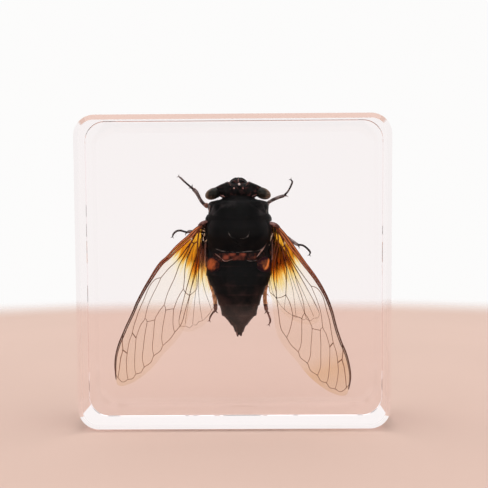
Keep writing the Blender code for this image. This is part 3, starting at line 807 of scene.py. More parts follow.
HIND_STAIN = MembraneFinish(
    "hindwing_finish", soot=0.92, soot_from=-0.1, soot_patch=(0.2, 0.42), amber=(9.2, 9.8), length=30.0,
    bare=((0.0, (1.0, 0.96, 0.88), 0.03), (1.0, (0.99, 0.965, 0.93), 0.03)),
    zones=(
        (0.0, (0.14, 0.05, 0.035), 0.4), (0.25, (0.20, 0.07, 0.045), 0.35), (0.36, (0.38, 0.13, 0.05), 0.3),
        (0.45, (0.85, 0.38, 0.06), 0.2), (0.53, (1.0, 0.66, 0.2), 0.12), (0.62, (1.0, 0.88, 0.55), 0.06),
        (0.75, (1.0, 0.95, 0.84), 0.04), (1.0, (1.0, 0.97, 0.93), 0.03),
    ),
)
VEIN = VeinFinish(
    "vein_finish", body=0.2, root_body=0.8, root_colour=(0.25, 0.065, 0.025), root_rim=(0.13, 0.03, 0.014),
    root_reach=(0.15, 0.30),
    stops=(
        (0.0, (0.28, 0.10, 0.04)), (0.12, (0.20, 0.07, 0.03)), (0.25, (0.30, 0.14, 0.06)),
        (0.4, (0.50, 0.33, 0.20)), (1.0, (0.56, 0.38, 0.24)),
    ),
    rims=(
        (0.0, (0.20, 0.06, 0.025)), (0.12, (0.14, 0.04, 0.02)), (0.25, (0.26, 0.12, 0.05)),
        (0.4, (0.46, 0.29, 0.17)), (1.0, (0.52, 0.34, 0.21)),
    ),
)
COSTA = VeinFinish(
    "front_vein_finish", body=0.65, root_body=0.85, root_colour=(0.90, 0.31, 0.12),
    root_rim=(0.20, 0.045, 0.025), root_reach=(0.08, 0.32), rim_from=0.3,
    stops=(
        (0.0, (0.75, 0.42, 0.30)), (0.06, (0.93, 0.52, 0.24)), (0.16, (0.90, 0.50, 0.25)),
        (0.28, (0.74, 0.43, 0.31)), (0.45, (0.52, 0.29, 0.205)), (0.65, (0.38, 0.20, 0.13)),
        (1.0, (0.40, 0.195, 0.12)),
    ),
    rims=(
        (0.0, (0.40, 0.18, 0.12)), (0.1, (0.40, 0.16, 0.08)), (0.25, (0.52, 0.24, 0.16)),
        (0.36, (0.46, 0.22, 0.15)), (0.5, (0.30, 0.15, 0.105)), (0.65, (0.24, 0.115, 0.075)),
        (1.0, (0.27, 0.12, 0.07)),
    ),
)
RESIN = ResinFinish("resin_finish")
FLOOR = FloorFinish("floor_finish")


# -------- the resin block


@dataclass
class ResinBlock:
    """The clear block, one rounded square plate on its edge, sized from the frame.

    Its front edge has a flat polished chamfer, and its back edge is only broken.
    """

    corner_radius: float = 5.0
    front_chamfer: float = 1.3
    back_chamfer: float = 0.1
    corner_steps: int = 32
    nodes: tuple[str, str] = ("resin_front", "resin_back")

    def outline(self, half_width: float, half_height: float, inset: float) -> list[Pair]:
        """The block's outline seen from the front.

        Args:
            half_width: half the block's width.
            half_height: half its height.
            inset: how far the outline is drawn in.

        Returns:
            Points as (X, height) from the middle, in turn.
        """
        radius = self.corner_radius - inset
        points = []
        for quarter, (sign_x, sign_z) in enumerate(((1, 1), (-1, 1), (-1, -1), (1, -1))):
            for step in range(self.corner_steps + 1):
                angle = math.radians(90 * (quarter + step / self.corner_steps))
                x = sign_x * (half_width - inset - radius) + radius * math.cos(angle)
                z = sign_z * (half_height - inset - radius) + radius * math.sin(angle)
                points.append((x, z))
        return points

    def build(self) -> None:
        """Makes the block."""
        corners = [corner / MM for node in self.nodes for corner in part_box(node)]
        low = Vector([min(corner[i] for corner in corners) for i in range(3)])
        high = Vector([max(corner[i] for corner in corners) for i in range(3)])
        middle, half = (low + high) / 2, (high - low) / 2
        stations = (
            (low.y, self.front_chamfer), (low.y + self.front_chamfer, 0.0),
            (high.y - self.back_chamfer, 0.0), (high.y, self.back_chamfer),
        )
        maker = MeshMaker()
        maker.loft([
            [Vector((middle.x + x, depth, middle.z + z)) for x, z in self.outline(half.x, half.z, inset)]
            for depth, inset in stations
        ])
        maker.piece("resin_block", RESIN, Slot.RESIN, self.nodes, sharp_angle=20.0)


# -------- the cicada's body


@dataclass(frozen=True)
class BodyForm:
    """The cicada's plain form: its half width, back and belly at each height.

    A place on it is named by its height and its turn, the angle in degrees from the middle of the back: 90 is
    the right flank, -90 the left flank and 180 the middle of the belly.

    Attributes:
        axis: how far right of the frame's middle the cicada's own middle is.
        power: how square its cross section is, where 2 is an ellipse.
        widths: its half width at each height.
        backs: the depth of its back at each height.
        bellies: the depth of its belly at each height.
    """

    axis: float
    power: float = 2.25
    widths: Line = (
        (59.6, 0.6), (59.0, 2.2), (58.0, 3.4), (56.9, 4.0), (56.0, 3.9), (55.3, 4.1), (54.95, 5.1),
        (54.6, 6.45), (54.2, 6.9), (53.4, 7.0), (52.2, 6.95), (51.3, 7.2), (50.4, 7.5), (49.4, 7.6),
        (48.0, 7.75), (46.2, 7.85), (43.6, 7.7), (41.0, 7.75), (39.4, 7.85), (37.6, 7.85), (36.4, 7.75),
        (35.3, 7.35), (34.3, 6.85), (33.3, 6.3), (32.0, 5.75), (30.5, 5.2), (29.0, 4.7), (27.7, 4.25),
        (26.75, 4.0), (26.2, 3.4), (24.3, 1.75), (23.0, 1.0), (22.2, 0.65),
    )
    backs: Line = (
        (59.6, 0.6), (59.0, -0.6), (58.0, -2.0), (56.4, -2.7), (55.4, -2.8), (54.4, -3.7), (52.0, -4.8),
        (50.4, -5.2), (49.0, -5.1), (46.0, -5.0), (43.0, -4.2), (40.8, -4.2), (39.3, -4.6), (37.5, -5.1),
        (33.5, -5.0), (29.7, -4.3), (26.8, -3.4), (24.3, -1.8), (22.2, -0.4),
    )
    bellies: Line = (
        (59.6, 1.3), (58.4, 4.0), (56.6, 5.0), (55.4, 4.8), (53.5, 5.5), (50.0, 6.2), (46.0, 6.5),
        (41.5, 6.5), (38.0, 6.1), (33.5, 5.5), (29.7, 4.7), (26.7, 3.8), (24.2, 2.7), (22.2, 1.7),
    )

    def point(self, height: float, turn: float, lift: float = 0.0) -> Vector:
        """A place on the form, or above it by a lift."""
        half_width = value_on(self.widths, height) + lift
        back, belly = value_on(self.backs, height), value_on(self.bellies, height)
        half_depth = (belly - back) / 2 + lift
        s, c = math.sin(math.radians(turn)), -math.cos(math.radians(turn))
        x = math.copysign(abs(s) ** (2 / self.power), s) * half_width
        y = math.copysign(abs(c) ** (2 / self.power), c) * half_depth
        return Vector((self.axis + x, (back + belly) / 2 + y, height))

    def turn_at(self, height: float, out: float) -> float:
        """The turn on the back at a distance out from the axis, less than a quarter either way."""
        share = min(1.0, abs(out) / value_on(self.widths, height))
        return math.copysign(math.degrees(math.asin(share ** (self.power / 2))), out)

    def on_back(self, height: float, out: float, lift: float = 0.0) -> Vector:
        """A place on the back, by its distance out from the axis."""
        return self.point(height, self.turn_at(height, out), lift)


@dataclass
class Plate:
    """One plate of the shell that lies on the body's form.

    Attributes:
        turns: the turns where the plate starts and ends.
        top: the height of its front edge at a turn.
        bottom: the height of its hind edge at a turn.
        lift: how far its surface stands over the form, at a turn and at a share of the way to its hind edge.
        grid: how many faces it has round the body and along it.
        root: how deep its rim goes into the form.
        warmth: the finish's warmth at a turn and at a share of the way to its hind edge.
        side_columns: over how many columns it rises at its start and its end.
        rim_height: the height of its rim over its lift.
    """

    turns: Pair
    top: Curve
    bottom: Curve
    lift: ByPlace
    grid: tuple[int, int] = (60, 12)
    root: float = 0.35
    warmth: ByPlace = lambda turn, share: 0.0
    side_columns: float = 1.5
    rim_height: float = 0.4

    def add_to(self, maker: MeshMaker, form: BodyForm) -> None:
        """Adds the plate to a mesh, as a closed skin with a rounded rim."""
        columns, rows = self.grid
        start, end = self.turns
        stations = [(0.0, -self.root), (0.0, 0.0), *((i / rows, 1.0) for i in range(rows + 1)),
                    (1.0, 0.0), (1.0, -self.root)]
        rings = []
        for i in range(columns + 1):
            turn = start + (end - start) * i / columns
            top, bottom = self.top(turn), self.bottom(turn)
            edge = min(1.0, min(i, columns - i) / self.side_columns)
            ring = []
            for share, state in stations:
                rise = edge if state > 0 else self.rim_height * edge
                lift = self.lift(turn, share) * rise if state >= 0 else state
                ring.append(form.point(top + (bottom - top) * share, turn, lift))
            rings.append(ring)

        def numbers(ring: int, corner: int) -> dict[str, float]:
            """The warmth of a point of the skin."""
            share = stations[corner][0] if corner >= 0 else 0.5
            return {"warmth": self.warmth(start + (end - start) * ring / columns, share)}

        maker.loft(rings, numbers)

    def build(self, name: str, finish: Finish, form: BodyForm) -> None:
        """Makes a piece of this plate alone."""
        maker = MeshMaker()
        self.add_to(maker, form)
        maker.piece(name, finish)


@dataclass
class Head:
    """The head: a wide cap, the ridged face bulge, eyes, three ocelli and two short feelers.

    Ocelli are given as out, height and radius, and the feeler as out, depth and height.
    """

    form: BodyForm
    eye_out: float = 6.12
    right_eye_in: float = 0.2
    eye_depth: float = 0.5
    eye_height: float = 56.55
    eye_half_size: Size = (2.1, 1.9, 1.38)
    eye_droop: float = 23.0
    cap_grid: tuple[int, int] = (48, 36)
    cap_power: float = 0.85
    cap_back: float = -3.1
    cap_belly: float = 3.9
    cap_tops: Line = (
        (6.6, 57.3), (5.8, 58.0), (4.6, 58.65), (3.4, 59.15), (2.7, 59.45), (2.2, 59.35), (1.6, 59.2),
        (0.0, 59.2),
    )
    cap_bottoms: Line = (
        (6.6, 56.6), (5.8, 56.0), (4.6, 55.85), (4.0, 55.5), (3.0, 55.2), (0.0, 55.0),
    )
    furrow: float = 0.16
    face_centre: Pair = (1.5, 58.1)
    face_half_size: Size = (2.5, 3.5, 2.45)
    ocelli: tuple[Spot, ...] = ((0.25, 58.72, 0.3), (-1.0, 57.75, 0.2), (1.1, 57.75, 0.2))
    ocellus_depth: float = -3.05
    feeler: tuple[Spot, ...] = (
        (2.7, 3.0, 58.3), (3.2, 4.1, 58.0), (3.8, 5.1, 57.4), (4.4, 5.9, 56.6), (5.0, 6.5, 55.7),
    )

    def build(self) -> None:
        """Makes the pieces of the head."""
        self.build_cap()
        self.build_face()
        self.build_eyes()
        self.build_ocelli()
        self.build_lines()
        self.build_feelers()

    def build_cap(self) -> None:
        """Makes the crown between the eyes."""
        maker = MeshMaker()
        rings = []
        count, sides = self.cap_grid
        reach = self.cap_tops[0][0]
        for i in range(count + 1):
            out = -reach + 2 * reach * i / count
            top, bottom = value_on(self.cap_tops, abs(out)), value_on(self.cap_bottoms, abs(out))
            back = self.cap_back + 2.5 * ease(abs(out), 0.5, reach - 0.6) - 0.35 * hump(abs(out), 2.6, 0.9)
            belly = self.cap_belly - 1.7 * ease(abs(out), 1.0, reach)
            middle = Vector((self.form.axis + out, (back + belly) / 2, (top + bottom) / 2))
            ring = []
            for k in range(sides):
                angle = math.tau * k / sides
                c, s = math.cos(angle), math.sin(angle)
                y = math.copysign(abs(c) ** self.cap_power, c) * (belly - back) / 2
                z = math.copysign(abs(s) ** self.cap_power, s) * (top - bottom) / 2
                sink = self.furrow * hump(out, 0.0, 0.35) if c < -0.3 else 0.0
                ring.append(middle + Vector((0.0, y, z)) + Vector((0.0, sink, 0.0)))
            rings.append(ring)
        maker.loft(rings)
        maker.piece("head_cap", FACE)

    def build_face(self) -> None:
        """Makes the bulging face with its cross ridges and bare middle stripe."""
        def ridges(way: Vector) -> float:
            """The ridges that run from the middle stripe round to the sides."""
            side = ease(abs(way.x), 0.1, 0.3)
            return 0.035 * side * math.sin(math.atan2(way.z, way.y) * 11.0) - 0.03 * (1 - side)

        maker = MeshMaker()
        depth, height = self.face_centre
        maker.egg(Vector((self.form.axis, depth, height)), self.face_half_size, detail=72, relief=ridges)
        maker.piece("face_bulge", FACE)

    def build_eyes(self) -> None:
        """Makes both eyes, each with a mark that is 1 at its rim."""
        for side in Side:
            maker = MeshMaker()
            turn = Matrix.Rotation(math.radians(side.value * self.eye_droop), 3, "Y")
            out = self.eye_out - (self.right_eye_in if side is Side.RIGHT else 0.0)
            centre = Vector((self.form.axis + side.value * out, self.eye_depth, self.eye_height))
            maker.egg(centre, self.eye_half_size, turn, 64)
            axis = turn @ Vector((side.value, 0.0, 0.0))
            rims = []
            for point in maker.points:
                outward = 0.5 + 0.5 * (point - centre).normalized().dot(axis)
                upper = abs((turn.transposed() @ (point - centre)).z) / self.eye_half_size[2]
                rims.append(0.75 * outward ** 3 + 0.5 * upper ** 2)
            maker.marks["rim"] = rims
            maker.piece(side.label + "_eye", EYE)

    def build_ocelli(self) -> None:
        """Makes the three small bead eyes on the crown."""
        for name, finish, places in (
            # The front ocellus's near white is a painted highlight.
            ("front_ocellus", OCELLUS_GLINT, self.ocelli[:1]), ("ocelli", BEAD, self.ocelli[1:]),
        ):
            maker = MeshMaker()
            for out, height, radius in places:
                depth = self.ocellus_depth + 0.35 * ease(height, 58.0, 59.2)
                centre = Vector((self.form.axis + out, depth, height))
                maker.egg(centre, (radius, radius * 0.7, radius), detail=20)
            maker.piece(name, finish)

    def build_lines(self) -> None:
        """Makes the reddish lines on the face and beside it."""
        maker = MeshMaker()
        for line in (
            [(0.0, -0.2, 60.2), (0.0, -0.95, 59.75), (0.05, -1.65, 59.3)],
            [(-2.5, -2.3, 59.35), (-2.1, -2.75, 58.9), (-1.8, -2.95, 58.4)],
            [(2.65, -2.3, 59.35), (2.3, -2.75, 58.9), (1.85, -2.95, 58.35)],
            [(-4.4, -1.7, 56.2), (-3.7, -2.0, 55.9), (-3.2, -2.1, 55.7)],
            [(4.5, -1.8, 56.3), (3.9, -2.1, 56.0), (3.3, -2.2, 55.8)],
        ):
            maker.strand(in_block(self.form.axis, line), 0.15, 8, swollen(0.04, 0.1))
        maker.piece("head_lines", SCALE)

    def build_feelers(self) -> None:
        """Makes the two feelers, which lie forward and down beside the face."""
        maker = MeshMaker()
        for side in Side:
            path = smooth_path(in_block(self.form.axis, self.feeler, side.value), 0.2)
            count = len(path)
            radii = [0.3 * (1 - ease(i, 0, 5)) + 0.055 + 0.05 * (1 - i / count) for i in range(count)]
            maker.tube(path, radii, 8)
        maker.piece("feelers", TOE)


@dataclass
class Thorax:
    """The thorax: core, neck shield and collar, the domed middle shield with its raised cross, and pale seam
    lines and ridge lines that are mostly painted highlights.

    The ends of the cross are given as out and height.
    """

    form: BodyForm
    core_rings: int = 150
    core_step: int = 5
    dome_top: float = 50.1
    dome_bottom: float = 42.1
    dome_rise: float = 1.15
    cross_middle: float = 44.6
    cross_front: Pair = (2.6, 46.9)
    cross_hind: Pair = (2.7, 42.7)
    cross_sink: float = 0.36

    def build(self) -> None:
        """Makes the pieces of the thorax."""
        self.build_core()
        self.build_neck_shield()
        self.build_collar()
        self.build_dome()
        self.build_cross()
        self.build_hind_shield()
        self.build_seam_glints()
        self.build_underside()

    def build_core(self) -> None:
        """Makes the plain body that the plates lie on, from the head to the tail."""
        maker = MeshMaker()
        top, bottom = self.form.widths[0][0], self.form.widths[-1][0]
        rings = []
        for i in range(self.core_rings + 1):
            height = top + (bottom - top) * i / self.core_rings
            rings.append([self.form.point(height, turn) for turn in range(-180, 180, self.core_step)])
        maker.loft(rings)
        maker.piece("body_core", BLACK, replaces=("cicada_body",))

    @staticmethod
    def neck_lift(turn: float, share: float) -> float:
        """Relief of the neck shield: a raised middle, slanting furrows and swollen cheeks."""
        out = abs(turn) / 90
        furrow = hump(out, 0.18 + 0.5 * share, 0.11) * hump(share, 0.5, 0.55)
        second = hump(out, 0.52 + 0.3 * share, 0.09) * hump(share, 0.45, 0.5)
        middle = hump(out, 0.0, 0.12) * (0.5 + share)
        return 0.3 + 0.12 * middle - 0.26 * furrow - 0.2 * second + 0.1 * math.sin(math.pi * share)

    def build_neck_shield(self) -> None:
        """Makes the shield behind the head."""
        def warmth(turn: float, share: float) -> float:
            """A painted grey sheen on its flanks, stronger on the right, where the light falls."""
            painted_sheen = 0.3 * hump(turn, 52, 30) + 0.1 * hump(turn, -66, 22)
            return painted_sheen * hump(share, 0.75, 0.75)

        Plate((-108, 108), lambda turn: 55.0 - 0.35 * hump(turn, 0, 60), lambda turn: 51.1,
              self.neck_lift, (110, 26), warmth=warmth).build("neck_shield", NECK, self.form)

    def build_collar(self) -> None:
        """Makes the flaring collar at the hind edge of the neck shield."""
        def lift(turn: float, share: float) -> float:
            """The collar's swell, wider at the flanks."""
            flare = 0.22 + 0.42 * ease(abs(turn), 35, 88)
            return flare * (0.55 + 0.45 * math.sin(math.pi * (0.15 + 0.7 * share)))

        Plate((-112, 112), lambda turn: 51.45 - 0.1 * hump(turn, 0, 50),
              lambda turn: 49.75 - 0.25 * hump(turn, 0, 70),
              lift, (110, 10)).build("neck_collar", BLACK, self.form)

    def dome_lift(self, turn: float, share: float) -> float:
        """Relief of the middle shield: a dome that falls to its hind edge, with two curved furrows."""
        out = abs(turn) / 90
        dome = (1 - ease(out, 0.35, 1.0)) * (1 - ease(share, 0.45, 1.0) * 0.8) * ease(share, -0.1, 0.25)
        furrow = hump(out, 0.26 + 0.1 * share, 0.05) * (1 - ease(share, 0.3, 0.5))
        side = hump(out, 0.62, 0.07) * (1 - ease(share, 0.45, 0.65))
        return 0.18 + self.dome_rise * dome - 0.07 * furrow - 0.07 * side

    def build_dome(self) -> None:
        """Makes the domed middle shield."""
        Plate((-96, 96), lambda turn: self.dome_top,
              lambda turn: self.dome_bottom + 2.0 * ease(abs(turn), 40, 84),
              self.dome_lift, (120, 40)).build("middle_shield", BLACK, self.form)

    def on_dome(self, height: float, out: float, lift: float) -> Vector:
        """A place over the middle shield, by its distance out from the axis."""
        turn = self.form.turn_at(height, out)
        share = (self.dome_top - height) / (self.dome_top - self.dome_bottom)
        return self.form.point(height, turn, self.dome_lift(turn, share) + lift)

    def build_cross(self) -> None:
        """Makes the raised cross on the hind part of the middle shield."""
        maker = MeshMaker()
        for side in Side:
            front_out, front_height = self.cross_front
            hind_out, hind_height = self.cross_hind
            knots = [
                (front_out, front_height), (front_out * 0.83, front_height - 0.95),
                (front_out * 0.45, self.cross_middle + 0.75), (0.0, self.cross_middle),
                (-hind_out * 0.5, self.cross_middle - 0.85), (-hind_out, hind_height),
            ]
            points = [self.on_dome(height, side.value * out, -self.cross_sink) for out, height in knots]
            maker.strand(points, 0.2, 10, swollen(0.15, 0.28))
        maker.piece("raised_cross", BLACK)

    def build_hind_shield(self) -> None:
        """Makes the rust-coloured hind shield, with its row of swellings, between thorax and abdomen."""
        def lift(turn: float, share: float) -> float:
            """Four soft lumps across a low band."""
            lumps = hump(abs(turn), 9, 8) + 0.8 * hump(abs(turn), 24, 8)
            return 0.12 + 0.3 * lumps * math.sin(math.pi * share)

        def warmth(turn: float, share: float) -> float:
            """The rust-coloured spots, partly the shield's own colour and partly painted highlights on its
            lumps.
            """
            spots = ((-9, 7, 0.3, 1.15), (6, 7, 0.3, 0.85), (-20, 8, 0.62, 1.0), (-3, 12, 0.8, 0.35),
                     (24, 12, 0.55, 0.2))
            return 0.12 + sum(heat * hump(turn, at, reach) * hump(share, place, 0.4)
                              for at, reach, place, heat in spots)

        Plate((-52, 52), lambda turn: 42.6 + 1.2 * ease(abs(turn), 20, 52),
              lambda turn: 39.9 + 0.5 * hump(turn, 0, 40),
              lift, (80, 14), warmth=warmth).build("hind_shield", RUST, self.form)

    def build_seam_glints(self) -> None:
        """Makes pale lines in the seam beside the middle shield and lighter ridge lines on it. The pale lines
        are painted light through the gaps and a painted highlight on the neck shield's left edge, with a pale
        rim under the hind shield; the ridge lines are painted highlights where edges catch the light.
        """
        seam_glints, ridges = MeshMaker(), MeshMaker()
        on_back, on_dome = self.form.on_back, self.on_dome
        for maker, place, lift, radius, line in (
            (seam_glints, on_back, 0.55, 0.17, [(6.4, 45.0), (6.2, 44.4), (5.8, 43.6), (5.1, 42.5), (4.15, 41.2)]),
            (seam_glints, on_back, 0.3, 0.14, [(-6.9, 54.1), (-6.55, 53.5), (-6.65, 52.8), (-6.8, 51.8)]),
            (ridges, on_back, 0.3, 0.12, [(6.6, 53.0), (6.5, 52.2), (6.6, 51.6)]),
            (seam_glints, on_back, 0.32, 0.11, [(-5.6, 42.1), (-4.7, 41.4), (-4.0, 40.8)]),
            (seam_glints, on_back, 0.30, 0.10, [
                (-4.0, 40.9), (-3.5, 40.3), (-2.8, 40.2), (-2.1, 40.4), (-1.3, 40.7),
            ]),
            (ridges, on_back, 0.30, 0.09, [(1.6, 40.5), (2.6, 40.2), (3.4, 40.2), (4.3, 40.4)]),
            (ridges, on_dome, 0.03, 0.15, [(-5.2, 43.2), (-4.0, 42.7), (-2.8, 42.5)]),
            (ridges, on_dome, 0.03, 0.10, [
                (-2.6, 42.5), (-0.1, 42.3), (2.0, 42.5), (4.7, 42.8), (5.7, 43.6), (6.4, 44.7),
            ]),
            (ridges, on_dome, 0.02, 0.12, [(-2.1, 47.4), (-1.85, 46.7), (-1.35, 46.0), (-0.6, 45.65)]),
            (ridges, on_dome, 0.02, 0.11, [
                (0.4, 45.65), (1.2, 45.7), (1.85, 46.1), (2.2, 46.8), (2.2, 47.4),
            ]),
        ):
            maker.strand([place(height, out, lift) for out, height in line], 0.2, 8, swollen(0.03, radius))
        # Pale lines: painted light through the gaps and on the neck shield's edge, with a pale rim under the
        # hind shield.
        seam_glints.piece("side_seam_glints", PALE)
        # The ridge lines' lighter grey is a painted highlight.
        ridges.piece("ridge_highlights", RIDGE_GLINT)

    def build_underside(self) -> None:
        """Makes the breast plates under the thorax."""
        def lift(turn: float, share: float) -> float:
            """A plate's swell, with a shallow furrow along the middle."""
            return 0.12 + 0.2 * math.sin(math.pi * share) * (1 - 0.7 * hump(turn, 180, 14))

        maker = MeshMaker()
        for top, bottom in ((55.0, 51.6), (51.3, 46.9), (46.6, 41.2)):
            Plate((112, 248), lambda turn: top, lambda turn: bottom, lift).add_to(maker, self.form)
        maker.piece("breast_plates", BLACK)


@dataclass
class Abdomen:
    """The abdomen: overlapping rings, drum covers, belly plates, sound flaps and the forked tail.

    The rims are the heights where the rings end, and the browning says how brown they are at each height.
    The right flap's place is given as out, depth and height, and the left one mirrors it.
    """

    form: BodyForm
    rims: tuple[float, ...] = (40.6, 38.9, 36.6, 34.2, 31.9, 29.3, 26.7, 24.3, 22.7)
    rim_lift: float = 0.24
    flap_place: Spot = (3.1, 6.05, 38.4)
    flap_half_size: Size = (2.6, 0.75, 2.9)
    flap_turn: float = 20.0
    browning: Line = (
        (34.5, 0.0), (31.0, 0.22), (28.7, 0.31), (27.0, 0.36), (25.0, 0.38), (23.0, 0.55),
    )
    drum_turns: Pair = (30, 80)

    def build(self) -> None:
        """Makes the pieces of the abdomen."""
        self.build_rings()
        self.build_drum_covers()
        self.build_flaps()
        self.build_tail()

    def ring_plate(self, top: float, bottom: float, turns: Pair) -> Plate:
        """One ring's plate, which stands a little over the next ring. It is browner further back."""
        def warmth(turn: float, share: float) -> float:
            """The brown of the abdomen's end, and the paler hind rim of each ring."""
            height = top + (bottom - top) * share
            flank = 0.12 * ease(abs(turn), 25, 65) * ease(height, 37.0, 31.0)
            return value_on(self.browning, height) + flank + 0.17 * ease(share, 0.84, 0.93)

        return Plate(turns, lambda turn: top + 0.2, lambda turn: bottom - 0.08,
                     lambda turn, share: 0.05 + self.rim_lift * share ** 1.6,
                     (100, 10), root=0.3, warmth=warmth)

    def build_rings(self) -> None:
        """Makes the rings of the back, and their plates on the belly."""
        for name, rims, turns in (
            ("abdomen_rings", self.rims, (-118, 118)), ("belly_plates", self.rims[1:], (124, 236)),
        ):
            maker = MeshMaker()
            for top, bottom in zip(rims, rims[1:]):
                self.ring_plate(top, bottom, turns).add_to(maker, self.form)
            maker.piece(name, RINGS)

    def build_drum_covers(self) -> None:
        """Makes the covers of the two sound drums, each with an amber glow at its own place."""
        for side, finish, middle, lean, reach, glow in (
            (Side.LEFT, AMBER, 53, 0, 24, 0.95), (Side.RIGHT, GOLD, 65, -18, 7.5, 1.25),
        ):
            start, end = sorted(side.value * turn for turn in self.drum_turns)

            def arch(turn: float) -> float:
                """0 at the cover's sides and 1 in its middle."""
                return max(0.0, math.sin(math.pi * (turn - start) / (end - start))) ** 0.5

            def warmth(turn: float, share: float) -> float:
                """The glow, and the dull red round it, which fade to the cover's rims."""
                turn *= side.value
                dull = 0.34 * hump(turn, 48, 34)
                bright = glow * hump(turn, middle + lean * share, reach)
                return max(dull, bright) * (1 - ease(abs(share - 0.46), 0.2, 0.52))

            Plate((start, end), lambda turn: 39.3 + 1.8 * arch(turn), lambda turn: 38.9 - 1.5 * arch(turn),
                  lambda turn, share: 0.22 + 0.3 * math.sin(math.pi * share) * arch(turn),
                  (36, 18), warmth=warmth).build(side.label + "_drum_cover", finish, self.form)

    def build_flaps(self) -> None:
        """Makes the two sound flaps on the belly behind the hind legs."""
        maker = MeshMaker()
        for side in Side:
            centre, = in_block(self.form.axis, [self.flap_place], side.value)
            turn = Matrix.Rotation(math.radians(side.value * self.flap_turn), 3, "Y")
            maker.egg(centre, self.flap_half_size, turn, 36)
        maker.piece("sound_flaps", BLACK)

    def build_tail(self) -> None:
        """Makes the two points of the tail and the small cone between them."""
        maker = MeshMaker()
        for out, tip, radius in ((-0.4, 21.5, 0.5), (0.4, 21.6, 0.5), (0.0, 21.85, 0.42)):
            knots = ((out * 1.15, -0.3, 24.2), (out * 1.2, -0.25, 23.0), (out, 0.3, tip))
            maker.strand(in_block(self.form.axis, knots), 0.2, 14, lambda share: radius * (1.4 - share))
        maker.piece("tail_fork", TAIL)


@dataclass
class Beak:
    """The piercing beak, which lies back along the breast."""

    form: BodyForm

    def build(self) -> None:
        """Makes the beak."""
        maker = MeshMaker()
        knots = ((0.0, 4.3, 57.8), (0.0, 5.8, 55.6), (0.0, 6.85, 52.6), (0.0, 7.55, 48.6))
        maker.strand(in_block(self.form.axis, knots), 0.3, 16, lambda share: 0.95 * (1 - share) ** 0.8 + 0.12)
        maker.piece("beak", TOE)


# -------- wings


@dataclass(frozen=True)
class WingPose:
    """How a wing lies.

    Attributes:
        side: which side of the body it is on.
        base: out, height and depth of its root.
        sweep: its angle in degrees out from straight down.
        span: scale along the wing.
        chord: scale of the hind part across the wing.
        pull: how far a place is moved towards the root, by its place along the wing.
        rear_pull: the share of that for the rear edge.
        shift: how far it is moved towards the front edge.
        swell: how far the front edge is moved out more than that.
        lift: depth gained by the tip.
        bow: depth gained by the middle.
    """

    side: Side
    base: Spot
    sweep: float
    span: float = 1.0
    chord: float = 1.0
    lift: float = 0.5
    bow: float = -0.4
    pull: Line = ((0.0, 0.0),)
    rear_pull: float = 1.0
    shift: Line = ((0.0, 0.0),)
    swell: Line = ((0.0, 0.0),)


